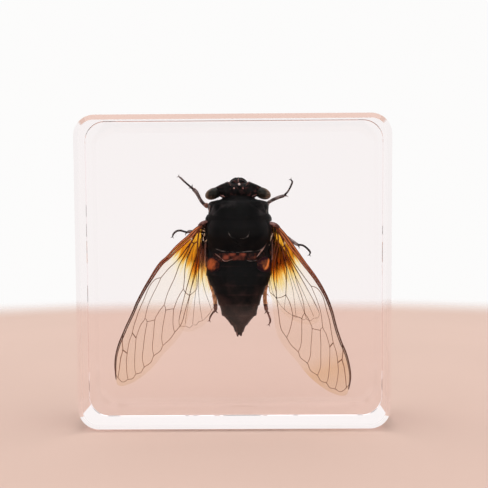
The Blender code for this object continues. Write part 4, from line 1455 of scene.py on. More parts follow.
@dataclass
class Wing:
    """One wing: a thin membrane, its net of veins and its strong front edge.

    Attributes:
        name: the node that the wing stands for.
        pose: how it lies.
        axis: how far right of the frame's middle the cicada's own middle is.
        front: the front edge, from root to tip, as (along, across).
        rear: the rest of the outline, from the tip back to the root.
        veins: each vein's points and its strength at its start and its end.
        edges: each front vein's distance in from the outline and its half width, by place along the wing.
        edge_finish: the front veins' finish.
        stain: the membrane's finish.
        slot: the record's material slot of its pieces.
        vein_size: the veins' radius over their strength.
        root_size: how much thicker they are at the root.
        root_reach: where along the wing that starts and stops to fade.
        vein_step: the distance between the veins' rings.
        vein_sides: how many sides they have.
        mesh_step: the distance between the membrane's points.
        row_step: the distance between its rows, over that.
        edge_step: the distance between the front veins' rings.
        edge_sides: how many sides they have.
        edge_flatness: their thickness over their width.
        ripple: how deep the membrane's ripples are.
    """

    name: str
    pose: WingPose
    axis: float
    front: Line
    rear: Line
    veins: Veins
    edges: Edges
    edge_finish: Finish
    stain: Finish
    slot: Slot
    vein_size: float = 0.68
    root_size: float = 0.5
    root_reach: Pair = (6.0, 13.0)
    vein_step: float = 0.35
    vein_sides: int = 8
    mesh_step: float = 0.55
    row_step: float = 0.87
    edge_step: float = 0.4
    edge_sides: int = 16
    edge_flatness: float = 0.6
    ripple: float = 0.05

    @property
    def length(self) -> float:
        """The wing's full length."""
        return max(along for along, _ in self.rear)

    def depth(self, along: float, across: float) -> float:
        """The depth of the membrane's middle at a flat place."""
        share = along / self.length
        ripple = self.ripple * noise.noise(Vector((along * 0.35, across * 0.9, self.pose.sweep)))
        bend = self.pose.bow * math.sin(math.pi * min(share, 1.0))
        return self.pose.base[2] + self.pose.lift * share + bend + ripple * ease(along, 0.0, 6.0)

    def spot(self, along: float, across: float) -> Vector:
        """The place in the block of a flat place on the wing."""
        pose = self.pose
        hold = pose.rear_pull + (1 - pose.rear_pull) * ease(across, -7.5, -2.5)
        far = (along - value_on(pose.pull, along) * hold) * pose.span
        near = across * (pose.chord if across < 0 else 1.0) + value_on(pose.shift, along)
        near += value_on(pose.swell, along) * ease(across, 0.5, 2.6)
        sweep = math.radians(pose.sweep)
        out = pose.base[0] + far * math.sin(sweep) + near * math.cos(sweep)
        height = pose.base[1] - far * math.cos(sweep) + near * math.sin(sweep)
        return Vector((self.axis + pose.side.value * out, self.depth(along, across), height))

    @staticmethod
    def marks(along: float, across: float) -> dict[str, float]:
        """The numbers that the membrane's finish reads."""
        reach = math.hypot(along, across)
        return {"along": along, "reach": reach, "angle": math.degrees(math.atan2(across, along + 0.8))}

    def build(self) -> None:
        """Makes the wing's pieces."""
        self.build_membrane()
        self.build_veins()
        self.build_edge()

    def outline(self) -> list[Vector]:
        """The wing's closed outline."""
        front = smooth_path(self.front, self.mesh_step)
        return front + smooth_path([self.front[-1], *self.rear], self.mesh_step)[1:]

    def build_membrane(self) -> None:
        """Makes the membrane as one thin sheet."""
        outline = self.outline()
        closed = outline + outline[:1]
        points = list(outline)
        low = min(point.y for point in outline)
        high = max(point.y for point in outline)
        row_step = self.mesh_step * self.row_step
        for row in range(int((high - low) / row_step) + 1):
            for column in range(int(self.length / self.mesh_step) + 2):
                place = Vector(((column + 0.5 * (row % 2)) * self.mesh_step, low + row * row_step))
                if is_inside(place, outline) and distance_to(place, closed) > self.mesh_step * 0.5:
                    points.append(place)
        edges = [(i, (i + 1) % len(outline)) for i in range(len(outline))]
        flats, _, triangles, _, _, _ = delaunay_2d_cdt(points, edges, [list(range(len(outline)))], 1, 1e-4)
        maker = MeshMaker()
        for flat in flats:
            maker.add(self.spot(flat.x, flat.y), **self.marks(flat.x, flat.y))
        maker.faces = [tuple(triangle) for triangle in triangles]
        maker.piece(self.name + "_membrane", self.stain, self.slot, (self.name,), sharp_angle=60.0)

    def build_veins(self) -> None:
        """Makes the net of veins."""
        maker = MeshMaker()
        for line, start, end in self.veins.values():
            flats = smooth_path(line, self.vein_step)
            path = [self.spot(flat.x, flat.y) for flat in flats]
            radii = []
            for i, flat in enumerate(flats):
                strength = start + (end - start) * i / (len(flats) - 1)
                root = 1 + self.root_size * (1 - ease(flat.x, *self.root_reach))
                radii.append(self.vein_size * strength * root)
            marks = [self.marks(flat.x, flat.y) for flat in flats]
            maker.tube(path, radii, self.vein_sides, marks=marks)
        maker.piece(self.name + "_veins", VEIN, self.slot)

    def build_edge(self) -> None:
        """Makes the thick front edge, two strong veins that run side by side."""
        maker = MeshMaker()
        flats = smooth_path(self.front, self.edge_step)
        for place, line in self.edges:
            path, radii, marks = [], [], []
            for flat in flats:
                inwards = value_on(place, flat.x)
                path.append(self.spot(flat.x, flat.y - inwards))
                radii.append(value_on(line, flat.x))
                marks.append(self.marks(flat.x, flat.y))
            maker.tube(path, radii, self.edge_sides, self.edge_flatness, marks)
        maker.piece(self.name + "_front_edge", self.edge_finish, self.slot)


FOREWING_FRONT: Line = [
    (0.0, 0.0), (2.4, 0.7), (6.5, 1.8), (10.5, 3.0), (14.3, 4.1), (17.4, 4.7), (20.5, 4.95), (23.0, 4.95),
    (26.0, 4.7), (28.3, 4.3), (30.7, 3.95), (33.7, 3.7), (36.2, 3.65), (39.0, 3.25), (41.7, 2.55),
    (43.6, 1.75), (45.0, 0.95),
]
FOREWING_REAR: Line = [
    (46.0, 0.0), (45.8, -1.4), (43.9, -3.5), (41.6, -5.1), (38.9, -6.5), (36.4, -7.4), (33.5, -8.1),
    (30.3, -9.2), (27.0, -9.9), (24.1, -9.7), (20.6, -8.8), (17.2, -7.85), (15.4, -7.7), (13.0, -7.0),
    (10.1, -5.5), (6.8, -3.9), (3.4, -2.4), (0.6, -1.3),
]
FOREWING_VEINS: Veins = {
    "radius_sector": ([
        (18.0, 2.4), (18.5, 3.1), (19.6, 3.7), (21.7, 3.9), (25.1, 3.4), (27.8, 3.0), (29.7, 2.5),
        (32.8, 1.8), (35.1, 1.6), (37.8, 1.0), (39.9, 0.3), (42.2, -1.0), (43.6, -2.1),
    ], 0.12, 0.09),
    "second_radius": ([
        (34.0, 3.6), (35.8, 3.0), (37.5, 2.1), (39.6, 1.8), (42.2, 1.2), (44.4, 0.6),
    ], 0.15, 0.11),
    "tip_cross": ([(37.5, 2.1), (37.8, 1.0)], 0.2, 0.16),
    "middle_stem": ([
        (5.2, -0.3), (8.6, 0.2), (10.4, 0.5), (12.4, 1.0), (14.7, 1.6), (18.0, 2.4),
    ], 0.16, 0.12),
    "middle_front": ([
        (18.0, 2.4), (22.7, 2.2), (25.4, 1.8), (28.4, 1.0), (30.1, 1.1), (32.3, 0.9), (33.5, 0.7),
        (35.5, -0.1), (38.2, -1.4), (40.4, -2.6), (41.4, -3.5),
    ], 0.1, 0.09),
    "radial_cross": ([(33.5, 0.7), (32.8, 1.8)], 0.2, 0.16),
    "second_apical": ([
        (28.4, 1.0), (28.8, 0.2), (31.7, -0.9), (35.0, -2.3), (37.2, -3.3), (38.8, -4.8),
    ], 0.1, 0.09),
    "middle_cross": ([(28.8, 0.2), (28.3, -0.6), (27.6, -1.5)], 0.1, 0.1),
    "third_apical": ([
        (23.5, -1.7), (25.2, -1.4), (26.1, -1.4), (27.6, -1.5), (30.8, -3.1), (33.6, -4.5), (35.1, -5.9),
    ], 0.1, 0.09),
    "middle_rear": ([
        (5.2, -0.3), (9.0, -0.5), (12.0, -0.2), (16.3, -0.6), (20.4, -0.9), (23.5, -1.7),
    ], 0.15, 0.1),
    "fourth_apical": ([(23.5, -1.7), (24.4, -2.8), (28.2, -4.5), (30.4, -5.7), (31.6, -6.9)], 0.1, 0.09),
    "rear_cross": ([(24.4, -2.8), (23.5, -3.8), (22.8, -4.6)], 0.1, 0.1),
    "elbow_stem": ([
        (5.4, -1.2), (7.1, -1.2), (9.8, -1.4), (12.1, -1.9), (13.9, -2.6), (17.5, -4.2),
    ], 0.15, 0.12),
    "elbow_front": ([
        (17.5, -4.2), (20.0, -4.1), (22.8, -4.6), (24.0, -5.3), (25.9, -6.7), (27.3, -8.1),
    ], 0.12, 0.09),
    "elbow_cross": ([(17.5, -4.2), (17.65, -5.2), (17.4, -6.6)], 0.12, 0.12),
    "fold": ([
        (4.5, -1.8), (7.7, -3.6), (10.0, -4.6), (12.6, -5.5), (15.8, -6.1), (17.4, -6.6), (20.4, -7.4),
        (24.6, -8.5), (27.3, -8.1),
    ], 0.17, 0.1),
    "border": ([
        (27.3, -8.1), (29.4, -7.8), (31.6, -6.9), (33.2, -6.9), (35.1, -5.9), (37.0, -5.9), (38.8, -4.8),
        (40.4, -4.6), (41.4, -3.5), (42.8, -3.2), (43.6, -2.1), (44.7, -1.3), (44.8, -0.5), (44.4, 0.6),
        (43.9, 1.5),
    ], 0.1, 0.1),
    "anal": ([(3.5, -2.1), (8.4, -4.6), (11.3, -6.0), (14.4, -7.4), (15.1, -7.6)], 0.13, 0.09),
    "anal_cross": ([(17.4, -6.6), (15.2, -7.6)], 0.1, 0.09),
    "root_cell_front": ([(0.7, -0.5), (2.8, -0.35), (5.2, -0.3)], 0.27, 0.22),
    "root_cell_end": ([(5.2, -0.3), (5.5, -0.8), (5.4, -1.2), (4.5, -1.8)], 0.15, 0.15),
    "root_cell_rear": ([(1.2, -0.5), (3.0, -1.2), (4.5, -1.8)], 0.2, 0.17),
}
FOREWING_EDGES: Edges = ((
    [(46.0, 0.03), (30.0, 0.10), (14.0, 0.22), (0.0, 0.3)],
    [(45.0, 0.06), (43.6, 0.11), (42.0, 0.15), (36.0, 0.17), (28.0, 0.18), (22.0, 0.21), (16.0, 0.27),
     (8.0, 0.31), (0.0, 0.36)],
), (
    [(46.0, 0.06), (43.0, 0.28), (34.0, 0.46), (28.0, 0.5), (22.0, 0.58), (16.0, 0.74), (6.0, 0.9),
     (0.0, 0.8)],
    [(45.0, 0.06), (42.0, 0.08), (34.0, 0.12), (28.0, 0.14), (22.0, 0.18), (16.0, 0.23), (8.0, 0.28),
     (0.0, 0.3)],
))
HINDWING_FRONT: Line = [(0.6, 0.0), (4.8, 0.45), (9.5, 0.7), (14.5, 0.7), (19.1, 0.6), (22.3, 0.4)]
HINDWING_REAR: Line = [
    (23.8, 0.0), (24.6, -1.2), (24.5, -2.8), (23.4, -4.5), (21.7, -6.0), (19.7, -7.1), (17.3, -7.8),
    (14.8, -8.1), (12.5, -7.9), (10.0, -6.9), (6.9, -4.9), (3.8, -2.7), (1.4, -1.1),
]
HINDWING_VEINS: Veins = {
    "front": ([(1.0, -0.3), (8.0, -0.2), (14.0, -0.5), (19.5, -1.0), (22.9, -1.4)], 0.14, 0.08),
    "second": ([(8.0, -0.2), (12.5, -1.4), (17.5, -2.3), (22.4, -3.2)], 0.1, 0.08),
    "third": ([(9.0, -1.1), (14.0, -2.4), (17.4, -3.7), (20.8, -5.2)], 0.1, 0.08),
    "third_root": ([(1.0, -0.3), (5.0, -0.8), (9.0, -1.1)], 0.14, 0.1),
    "elbow": ([
        (1.0, -0.4), (6.0, -1.3), (10.3, -2.3), (13.7, -4.0), (17.2, -6.4), (17.9, -6.8),
    ], 0.13, 0.08),
    "fold": ([(1.0, -0.5), (6.0, -2.3), (10.5, -4.9), (14.6, -7.2)], 0.12, 0.08),
    "anal": ([(2.0, -0.9), (5.0, -2.8), (8.5, -5.1), (10.6, -6.6)], 0.12, 0.08),
    "border": ([
        (19.7, 0.4), (22.5, 0.3), (23.7, -0.5), (23.3, -1.7), (23.5, -2.7), (22.5, -3.3), (22.4, -4.1),
        (21.4, -4.5), (20.9, -5.3), (19.6, -6.1), (17.9, -6.8), (16.0, -7.2), (14.6, -7.2), (12.6, -7.2),
        (10.6, -6.6),
    ], 0.08, 0.08),
}
HINDWING_EDGES: Edges = (
    ([(23.0, 0.05), (0.0, 0.2)], [(23.0, 0.06), (14.0, 0.09), (6.0, 0.14), (0.0, 0.2)]),
)


@dataclass
class Wings:
    """The four wings, the small plates that join them to the thorax, and pale dabs at their roots that are
    painted highlights.
    """

    axis: float
    left_fore: WingPose = WingPose(
        Side.LEFT, (8.7, 49.1, -0.9), 28.0, 0.98, 0.87, rear_pull=0.0,
        pull=[(46.0, 0.2), (38.0, 0.2), (32.0, 0.5), (28.0, 0.8), (18.0, 1.3), (9.0, 0.4), (0.0, 0.0)],
        shift=[(46.0, 0.45), (35.0, 0.9), (27.0, 0.93), (23.0, 0.75), (17.0, 0.6), (12.0, 0.7), (8.0, 0.8),
               (5.0, 0.75), (2.5, 0.75), (1.0, 0.5), (0.0, 0.2)],
        swell=[(46.0, 0.0), (43.0, 0.05), (40.0, 0.3), (36.0, 0.4), (32.0, 0.5), (27.7, 0.15), (23.6, 0.0),
               (19.0, 0.0), (14.4, 0.28), (12.0, 0.12), (6.0, 0.5), (3.0, 0.4), (0.0, 0.2)])
    right_fore: WingPose = WingPose(
        Side.RIGHT, (8.8, 49.1, -0.9), 22.7,
        pull=[(46.0, 0.3), (30.0, 0.4), (18.0, 0.5), (10.0, 0.1), (5.0, -0.5), (0.0, 0.0)],
        shift=[(46.0, 0.0), (14.0, 0.0), (9.0, 0.2), (5.0, 0.6), (3.0, 0.7), (1.0, 0.45), (0.0, 0.2)],
        swell=[(46.0, 0.35), (38.0, 0.3), (30.0, 0.15), (22.0, 0.05), (16.0, -0.15), (12.0, -0.1),
               (6.0, 0.2), (0.0, 0.3)])
    left_hind: WingPose = WingPose(Side.LEFT, (8.45, 46.9, 0.6), 15.9, lift=0.3, bow=0.2)
    right_hind: WingPose = WingPose(Side.RIGHT, (8.3, 46.9, 0.6), 29.5, lift=0.3, bow=0.2)
    knob_depth: float = -1.5
    knob_half_size: Size = (0.3, 0.22, 0.36)
    glint_depth: float = -1.45

    def build(self) -> None:
        """Makes the four wings and what joins them to the thorax."""
        for name, pose, stain in (
            ("left_forewing", self.left_fore, LEFT_STAIN), ("right_forewing", self.right_fore, RIGHT_STAIN),
        ):
            Wing(name, pose, self.axis, FOREWING_FRONT, FOREWING_REAR, FOREWING_VEINS, FOREWING_EDGES,
                 COSTA, stain, Slot.FOREWING).build()
        for name, pose in (("left_hindwing", self.left_hind), ("right_hindwing", self.right_hind)):
            Wing(name, pose, self.axis, HINDWING_FRONT, HINDWING_REAR, HINDWING_VEINS, HINDWING_EDGES,
                 VEIN, HIND_STAIN, Slot.HINDWING, vein_size=0.55).build()
        self.build_root_glints()
        self.build_roots()
        self.build_knobs()

    def build_roots(self) -> None:
        """Makes the small hard plates between the thorax and the wings, the shoulder scales, and pale lines
        on the folds, which are painted highlights where the folded membrane catches the light.
        """
        roots, scales, fold_glints = MeshMaker(), MeshMaker(), MeshMaker()
        struts = (
            (0.28, [
                (8.8, -0.9, 49.2), (8.85, -0.8, 47.8), (8.9, -0.4, 46.0), (8.8, 0.1, 44.4), (8.7, 0.5, 43.2),
            ]),
            (0.36, [(7.7, -0.9, 49.3), (7.8, -0.6, 47.6), (7.8, -0.2, 45.6), (7.8, 0.2, 43.8)]),
            (0.42, [(7.7, -0.9, 49.2), (8.3, -1.0, 49.0), (8.9, -0.8, 48.8)]),
            (0.22, [(7.7, -0.7, 48.5), (8.3, -0.8, 48.3), (8.9, -0.7, 48.4)]),
            (0.22, [(7.6, -0.5, 47.5), (8.3, -0.7, 47.45), (8.9, -0.5, 47.6)]),
            (0.24, [(7.6, -0.4, 46.6), (8.3, -0.6, 46.55), (9.0, -0.4, 46.7)]),
            (0.24, [(7.6, -0.2, 45.75), (8.3, -0.4, 45.7), (8.9, -0.2, 45.8)]),
            (0.36, [(7.7, 0.0, 44.7), (8.3, 0.0, 44.6), (8.8, 0.1, 44.7)]),
            (0.42, [(7.9, 0.1, 44.4), (7.9, 0.3, 42.6), (7.8, 0.5, 40.8), (7.7, 0.6, 39.8)]),
            (0.36, [(8.3, -0.5, 48.9), (8.35, -0.4, 47.8), (8.4, -0.2, 46.6), (8.35, 0.0, 45.3)]),
        )
        shoulders = {
            Side.LEFT: [(7.2, -1.3, 49.75), (7.9, -1.6, 49.7), (8.9, -1.5, 49.35), (9.7, -1.2, 48.75)],
            Side.RIGHT: [(7.2, -1.3, 49.4), (8.25, -1.6, 49.15), (9.2, -1.5, 48.8), (9.9, -1.2, 48.2)],
        }
        fold = [(8.15, -1.3, 45.0), (8.17, -1.25, 43.2), (8.15, -1.1, 41.4), (8.15, -0.9, 39.0)]
        for side in Side:
            strands = [(roots, *strut) for strut in struts]
            strands += [(scales, 0.4, shoulders[side]), (fold_glints, 0.075, fold)]
            for maker, radius, line in strands:
                maker.strand(in_block(self.axis, line, side.value), 0.2, 12,
                             swollen(radius * 0.75, radius * 0.35))
        scales.piece("shoulder_scales", SCALE)
        # The fold lines' pale colour is a painted highlight.
        fold_glints.piece("wing_fold_glints", PALE)
        roots.piece("wing_roots", ROOT)

    def build_knobs(self) -> None:
        """Makes a pale knob on each forewing, where its thick veins part, whose colour is a painted
        highlight.
        """
        maker = MeshMaker()
        for out, height in ((-11.47, 45.5), (11.17, 44.4)):
            maker.egg(Vector((self.axis + out, self.knob_depth, height)), self.knob_half_size, detail=16)
        maker.piece("wing_root_glint_knobs", ROOT_GLINT)

    def build_root_glints(self) -> None:
        """Makes pale dabs between the small plates at the wing roots, which are painted highlights."""
        maker = MeshMaker()
        for side, radius, line in (
            (Side.LEFT, 0.10, [(8.3, 48.1), (8.25, 47.95)]),
            (Side.LEFT, 0.14, [(8.7, 47.6), (8.4, 47.5), (8.15, 47.3)]),
            (Side.LEFT, 0.19, [(8.25, 46.9), (8.3, 46.5), (8.45, 46.15)]),
            (Side.LEFT, 0.14, [(8.6, 46.0), (8.6, 45.5), (8.55, 45.1)]),
            (Side.LEFT, 0.12, [(8.9, 46.9), (8.8, 46.7)]),
            (Side.LEFT, 0.14, [(8.2, 44.85), (7.9, 45.1), (7.6, 45.4)]),
            (Side.RIGHT, 0.13, [
                (7.7, 46.8), (7.85, 46.1), (7.9, 45.55), (7.6, 45.0), (7.3, 45.2), (7.0, 45.5),
            ]),
            (Side.RIGHT, 0.12, [(8.35, 46.85), (8.15, 46.3), (7.95, 45.7)]),
            (Side.RIGHT, 0.09, [(7.5, 43.9), (7.2, 44.25)]),
        ):
            points = [(self.axis + side.value * out, self.glint_depth, height) for out, height in line]
            maker.strand(points, 0.1, 10, swollen(radius * 0.7, radius * 0.3))
        maker.piece("wing_root_glints", ROOT_GLINT)


# -------- legs


Knot = tuple[float, float, float, float]


@dataclass(frozen=True)
class Thorns:
    """A pair of curved thorns of one leg. Their splay is how far they lean out, over their length."""

    length: float
    splay: float
    radius: float

    def add_to(self, maker: MeshMaker, root: Vector, way: Vector) -> None:
        """Adds the pair to a leg's mesh, at their root and along the limb's way."""
        along = way.normalized()
        across = along.cross(Vector((0.0, 1.0, 0.0))).normalized()
        for sign in (-1, 1):
            middle = root + (along * 0.6 + across * sign * self.splay * 0.35) * self.length
            tip = root + (along + across * sign * self.splay) * self.length
            maker.strand([root, middle, tip], 0.12, 6, lambda share: self.radius * (1 - 0.85 * share))


SPURS = Thorns(0.85, 0.8, 0.26)
CLAWS = Thorns(0.5, 0.9, 0.15)
SPINES = Thorns(0.7, 0.9, 0.08)


@dataclass
class Leg:
    """One leg: its hip, thigh, shank and foot, the spurs at the shank's end and the claws.

    Attributes:
        name: the node that the leg stands for.
        parts: out, depth, height and radius of the knots of each part, from the hip to the foot.
        side: the side of the body that it is on.
        axis: how far right of the frame's middle the cicada's own middle is.
        finish: its shell.
        foot_finish: its foot's shell.
        spines: how many pairs of spines the shank has.
        ankle: the share of the shank, at its end, that has the foot's shell.
        ring_step: the distance between its rings.
        sides: how many sides it has.
    """

    name: str
    parts: tuple[list[Knot], ...]
    side: Side
    axis: float
    finish: Finish
    foot_finish: Finish
    spines: int = 0
    ankle: float = 0.0
    ring_step: float = 0.25
    sides: int = 14

    def places(self, knots: Places) -> list[Vector]:
        """The knots' places in the block."""
        return in_block(self.axis, knots, self.side.value)

    def build(self) -> None:
        """Makes the leg."""
        limb, foot = MeshMaker(), MeshMaker()
        for part in self.parts:
            knots = smooth_path(part, self.ring_step)
            last = len(knots) - 1
            radii = [knot[3] * (0.6 if i in (0, last) else 1.0) for i, knot in enumerate(knots)]
            maker = foot if part is self.parts[-1] else limb
            maker.tube(self.places(knots), radii, self.sides)
        if self.ankle:
            knots = smooth_path(self.parts[-2], self.ring_step)
            knots = knots[round(len(knots) * (1 - self.ankle)):]
            radii = [knot[3] * (0.92 + 0.12 * ease(i, 0, 3)) for i, knot in enumerate(knots)]
            foot.tube(self.places(knots), radii, self.sides)
        shank, toes = (self.places(part) for part in self.parts[-2:])
        SPURS.add_to(foot if self.ankle else limb, shank[-1], shank[-1] - shank[-2])
        CLAWS.add_to(foot, toes[-1], toes[-1] - toes[-2])
        for i in range(self.spines):
            root = shank[0].lerp(shank[-1], (i + 1) / (self.spines + 1))
            SPINES.add_to(limb, root, shank[-1] - shank[0])
        limb.piece(self.name + "_limb", self.finish, Slot.LEG, (self.name,))
        foot.piece(self.name + "_foot", self.foot_finish, Slot.LEG)


HIPS: dict[str, list[Knot]] = {
    "fore": [(2.5, 6.5, 54.2, 0.85), (3.1, 7.6, 52.5, 0.85), (3.7, 8.1, 51.4, 0.5)],
    "mid": [(3.0, 7.2, 48.6, 0.85), (3.8, 8.3, 47.0, 0.85), (4.6, 8.8, 45.9, 0.5)],
    "hind": [(2.9, 7.4, 43.8, 0.85), (3.8, 8.5, 42.2, 0.85), (4.4, 8.8, 41.0, 0.5)],
}
LEG_PARTS: dict[str, tuple[list[Knot], ...]] = {
    "left_foreleg": (
        [(3.7, 8.1, 51.4, 0.5), (5.4, 7.6, 52.0, 0.85), (7.6, 6.8, 53.2, 0.45)],
        [(7.6, 6.7, 53.3, 0.44), (8.4, 6.3, 53.9, 0.46), (9.1, 6.0, 54.6, 0.43), (9.6, 5.7, 55.4, 0.41),
         (10.05, 5.3, 56.3, 0.44), (10.6, 4.9, 57.2, 0.50), (11.3, 4.5, 57.9, 0.46)],
        [(11.2, 4.45, 57.75, 0.27), (12.45, 4.2, 58.85, 0.23), (13.4, 4.0, 59.7, 0.23),
         (14.1, 3.9, 60.4, 0.24), (14.55, 3.8, 60.75, 0.22)],
    ),
    "right_foreleg": (
        [(3.7, 8.1, 51.4, 0.5), (5.3, 7.6, 52.2, 0.85), (6.7, 6.7, 53.7, 0.42)],
        [(6.8, 6.5, 53.95, 0.40), (7.65, 6.2, 54.55, 0.42), (8.65, 5.8, 55.1, 0.42),
         (10.0, 5.4, 55.65, 0.42), (11.35, 5.0, 56.05, 0.40)],
        [(11.3, 4.95, 56.1, 0.27), (12.2, 4.6, 57.05, 0.22), (12.8, 4.4, 58.1, 0.22),
         (13.2, 4.2, 59.05, 0.23), (13.25, 4.1, 59.5, 0.22), (13.0, 4.0, 59.8, 0.18)],
    ),
    "left_midleg": (
        [(4.6, 8.8, 45.9, 0.5), (6.6, 8.2, 46.6, 0.8), (9.4, 7.6, 47.4, 0.42)],
        [(9.2, 7.6, 47.3, 0.30), (10.5, 7.5, 47.1, 0.30), (11.5, 7.4, 47.25, 0.34), (12.3, 7.2, 47.3, 0.40),
         (12.95, 6.6, 47.1, 0.30)],
        [(12.8, 6.6, 47.1, 0.22), (13.65, 6.2, 47.3, 0.24), (14.5, 6.0, 47.55, 0.25),
         (15.4, 5.8, 47.45, 0.25), (16.1, 5.5, 46.95, 0.24), (16.4, 5.2, 46.4, 0.22),
         (16.45, 5.1, 46.15, 0.18)],
    ),
    "right_midleg": (
        [(4.6, 8.8, 45.9, 0.5), (6.5, 8.2, 46.5, 0.8), (9.2, 7.7, 47.2, 0.42)],
        [(9.1, 7.7, 47.1, 0.34), (10.4, 7.7, 46.6, 0.38), (11.8, 7.6, 45.85, 0.42),
         (12.75, 7.4, 45.1, 0.46), (13.75, 7.0, 44.4, 0.45), (14.7, 6.5, 43.8, 0.38)],
        [(14.6, 6.4, 43.85, 0.26), (15.7, 6.0, 43.75, 0.25), (16.4, 5.6, 43.4, 0.25),
         (17.15, 5.2, 42.75, 0.25), (17.7, 5.0, 42.0, 0.24), (17.55, 4.8, 41.5, 0.18)],
    ),
    "left_hindleg": (
        [(4.4, 8.8, 41.0, 0.5), (6.0, 8.5, 39.6, 0.75), (7.7, 8.0, 37.8, 0.42)],
        [(7.8, 7.9, 37.4, 0.34), (7.7, 7.9, 36.1, 0.38), (7.45, 7.9, 34.8, 0.42), (6.95, 7.8, 33.3, 0.46),
         (6.45, 7.6, 32.0, 0.52), (6.2, 7.4, 30.5, 0.54), (6.0, 7.2, 29.0, 0.50), (6.0, 6.9, 27.6, 0.44)],
        [(6.05, 6.8, 27.6, 0.24), (6.75, 6.6, 26.8, 0.23), (7.3, 6.4, 25.9, 0.22), (7.5, 6.2, 25.1, 0.16)],
    ),
    "right_hindleg": (
        [(4.4, 8.8, 41.0, 0.5), (6.0, 8.5, 39.6, 0.75), (7.5, 8.0, 37.8, 0.42)],
        [(7.5, 7.9, 37.6, 0.34), (7.3, 7.9, 36.1, 0.38), (7.0, 7.9, 34.7, 0.42), (6.7, 7.8, 33.2, 0.46),
         (6.45, 7.6, 32.0, 0.50), (6.4, 7.4, 30.4, 0.52), (6.55, 7.2, 28.9, 0.50), (6.8, 6.9, 27.5, 0.46)],
        [(6.85, 6.8, 27.45, 0.26), (7.3, 6.6, 26.35, 0.25), (7.7, 6.4, 25.25, 0.25), (7.7, 6.3, 24.5, 0.22),
         (7.45, 6.2, 24.0, 0.16)],
    ),
}


@dataclass
class Legs:
    """The six legs, and the pale skins at the knees of the forelegs."""

    axis: float
    hind_spines: int = 4
    hind_ankle: float = 0.22
    knee_depth: float = 6.0
    knee_half_depth: float = 0.45

    def build(self) -> None:
        """Makes the six legs and the knees' skins."""
        hind_dress = (RED_LEG, FOOT, self.hind_spines, self.hind_ankle)
        for name, parts in LEG_PARTS.items():
            side = Side.LEFT if name.startswith("left") else Side.RIGHT
            pair = name.split("_")[1].removesuffix("leg")
            dress = hind_dress if pair == "hind" else (LEG, TOE)
            Leg(name, (HIPS[pair], *parts), side, self.axis, *dress).build()
        knees = MeshMaker()
        for side, out, height, half in ((Side.LEFT, 8.0, 53.75, 0.66), (Side.RIGHT, 7.1, 53.9, 0.5)):
            centre, = in_block(self.axis, [(out, self.knee_depth, height)], side.value)
            knees.egg(centre, (half, self.knee_half_depth, half), detail=16)
        knees.piece("knee_membranes", PALE, Slot.LEG)


# -------- studio


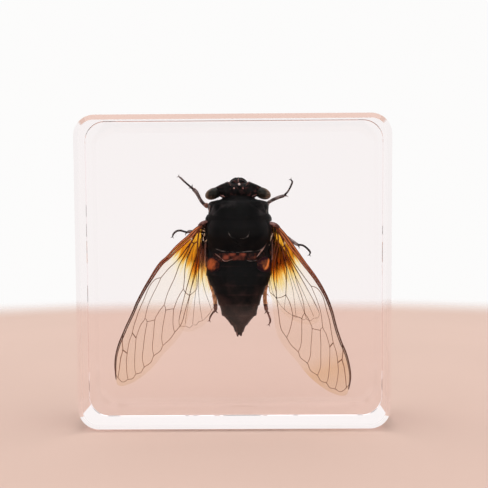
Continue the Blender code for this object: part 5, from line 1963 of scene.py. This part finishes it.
@dataclass
class Studio:
    """The table top, the soft light and the camera at the photograph's viewing angle.

    Lengths are in metres and angles in degrees. The camera's place is its distance before the block's
    middle, how far right of that it is, and its height.
    """

    floor_radius: float = 0.5
    floor_sides: int = 96
    floor_drop: float = 0.0002
    sky: Colour = (1.0, 0.995, 0.99)
    bright: float = 0.975
    dim: float = 0.03
    dim_facing: Pair = (-1.0, -0.1)
    dim_depth: float = 2.5
    light_place: Spot = (0.0, -0.1, 1.1)
    light_size: float = 1.5
    light_power: float = 6.0
    light_aim: float = 0.04
    lens: float = 65.8
    sensor: float = 36.0
    distance: float = 0.2225
    camera_out: float = 0.0046
    camera_height: float = 0.0504
    pitch: float = 3.97
    yaw: float = 0.565
    roll: float = -0.356
    shift_y: float = 0.075
    clip_start: float = 0.01
    bounces: int = 16
    clear_bounces: int = 24

    def build(self) -> None:
        """Makes the studio."""
        self.build_floor()
        self.build_world()
        self.build_light()
        self.build_camera()

    def build_floor(self) -> None:
        """Lays the round table top."""
        mesh = bpy.data.meshes.new("floor")
        points = [(0.0, 0.0, -self.floor_drop)]
        count, radius = self.floor_sides, self.floor_radius
        for i in range(count):
            angle = math.tau * i / count
            points.append((radius * math.cos(angle), radius * math.sin(angle), -self.floor_drop))
        mesh.from_pydata(points, [], [(0, i + 1, (i + 1) % count + 1) for i in range(count)])
        mesh.materials.append(FLOOR.material())
        new_object("floor", mesh)

    def build_world(self) -> None:
        """Surrounds the scene with soft white light.

        Only what mirrors the room before and beside the block is dim.
        """
        world = bpy.data.worlds.new("soft_white")
        bpy.context.scene.world = world
        sheet = NodeSheet(world)
        way = sheet.add("ShaderNodeSeparateXYZ", {0: sheet.add("ShaderNodeTexCoord").outputs["Generated"]})
        ray = sheet.add("ShaderNodeLightPath").outputs
        mirrored = sheet.times(ray["Is Singular Ray"], ray["Is Reflection Ray"])
        mirrored = sheet.times(mirrored, sheet.maths("LESS_THAN", ray["Ray Depth"], self.dim_depth))
        facing = sheet.maths("SUBTRACT", way.outputs["Y"], sheet.maths("ABSOLUTE", way.outputs["X"]))
        loss = sheet.spread(facing, *self.dim_facing, self.bright - self.dim, 0.0)
        background = sheet.tree.nodes["Background"]
        sheet.put(background.inputs["Strength"],
                  sheet.maths("SUBTRACT", self.bright, sheet.times(mirrored, loss)))
        sheet.put(background.inputs["Color"], (*self.sky, 1.0))

    def build_light(self) -> None:
        """Hangs a large soft light over the block."""
        data = bpy.data.lights.new("top_light", "AREA")
        data.size = self.light_size
        data.energy = self.light_power
        light = new_object("top_light", data)
        light.location = self.light_place
        way = Vector((0.0, 0.0, self.light_aim)) - Vector(self.light_place)
        light.rotation_euler = way.to_track_quat("-Z", "Y").to_euler()

    def build_camera(self) -> None:
        """Places the camera."""
        data = bpy.data.cameras.new("camera")
        data.lens = self.lens
        data.sensor_width = self.sensor
        data.shift_y = self.shift_y
        data.clip_start = self.clip_start
        camera = new_object("camera", data)
        camera.location = (self.camera_out, -self.distance, self.camera_height)
        turn = Matrix.Rotation(math.radians(self.yaw), 3, "Z")
        turn = turn @ Matrix.Rotation(math.radians(90 - self.pitch), 3, "X")
        turn = turn @ Matrix.Rotation(math.radians(self.roll), 3, "Z")
        camera.rotation_euler = turn.to_euler()
        scene = bpy.context.scene
        scene.camera = camera
        scene.view_settings.view_transform = "Standard"
        scene.cycles.transparent_max_bounces = self.clear_bounces
        scene.cycles.max_bounces = self.bounces
        scene.cycles.transmission_bounces = self.bounces
        scene.cycles.blur_glossy = 0.0


def main() -> None:
    """Builds the block, the cicada and the studio."""
    logging.basicConfig(level=logging.INFO, format="%(message)s")
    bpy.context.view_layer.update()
    low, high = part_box("cicada_body")
    form = BodyForm((low.x + high.x) / 2 / MM)
    for part in (
        ResinBlock(), Head(form), Thorax(form), Abdomen(form), Beak(form), Wings(form.axis), Legs(form.axis),
        Studio(),
    ):
        LOG.info("building %s", type(part).__name__)
        part.build()


if __name__ == "__main__":
    main()
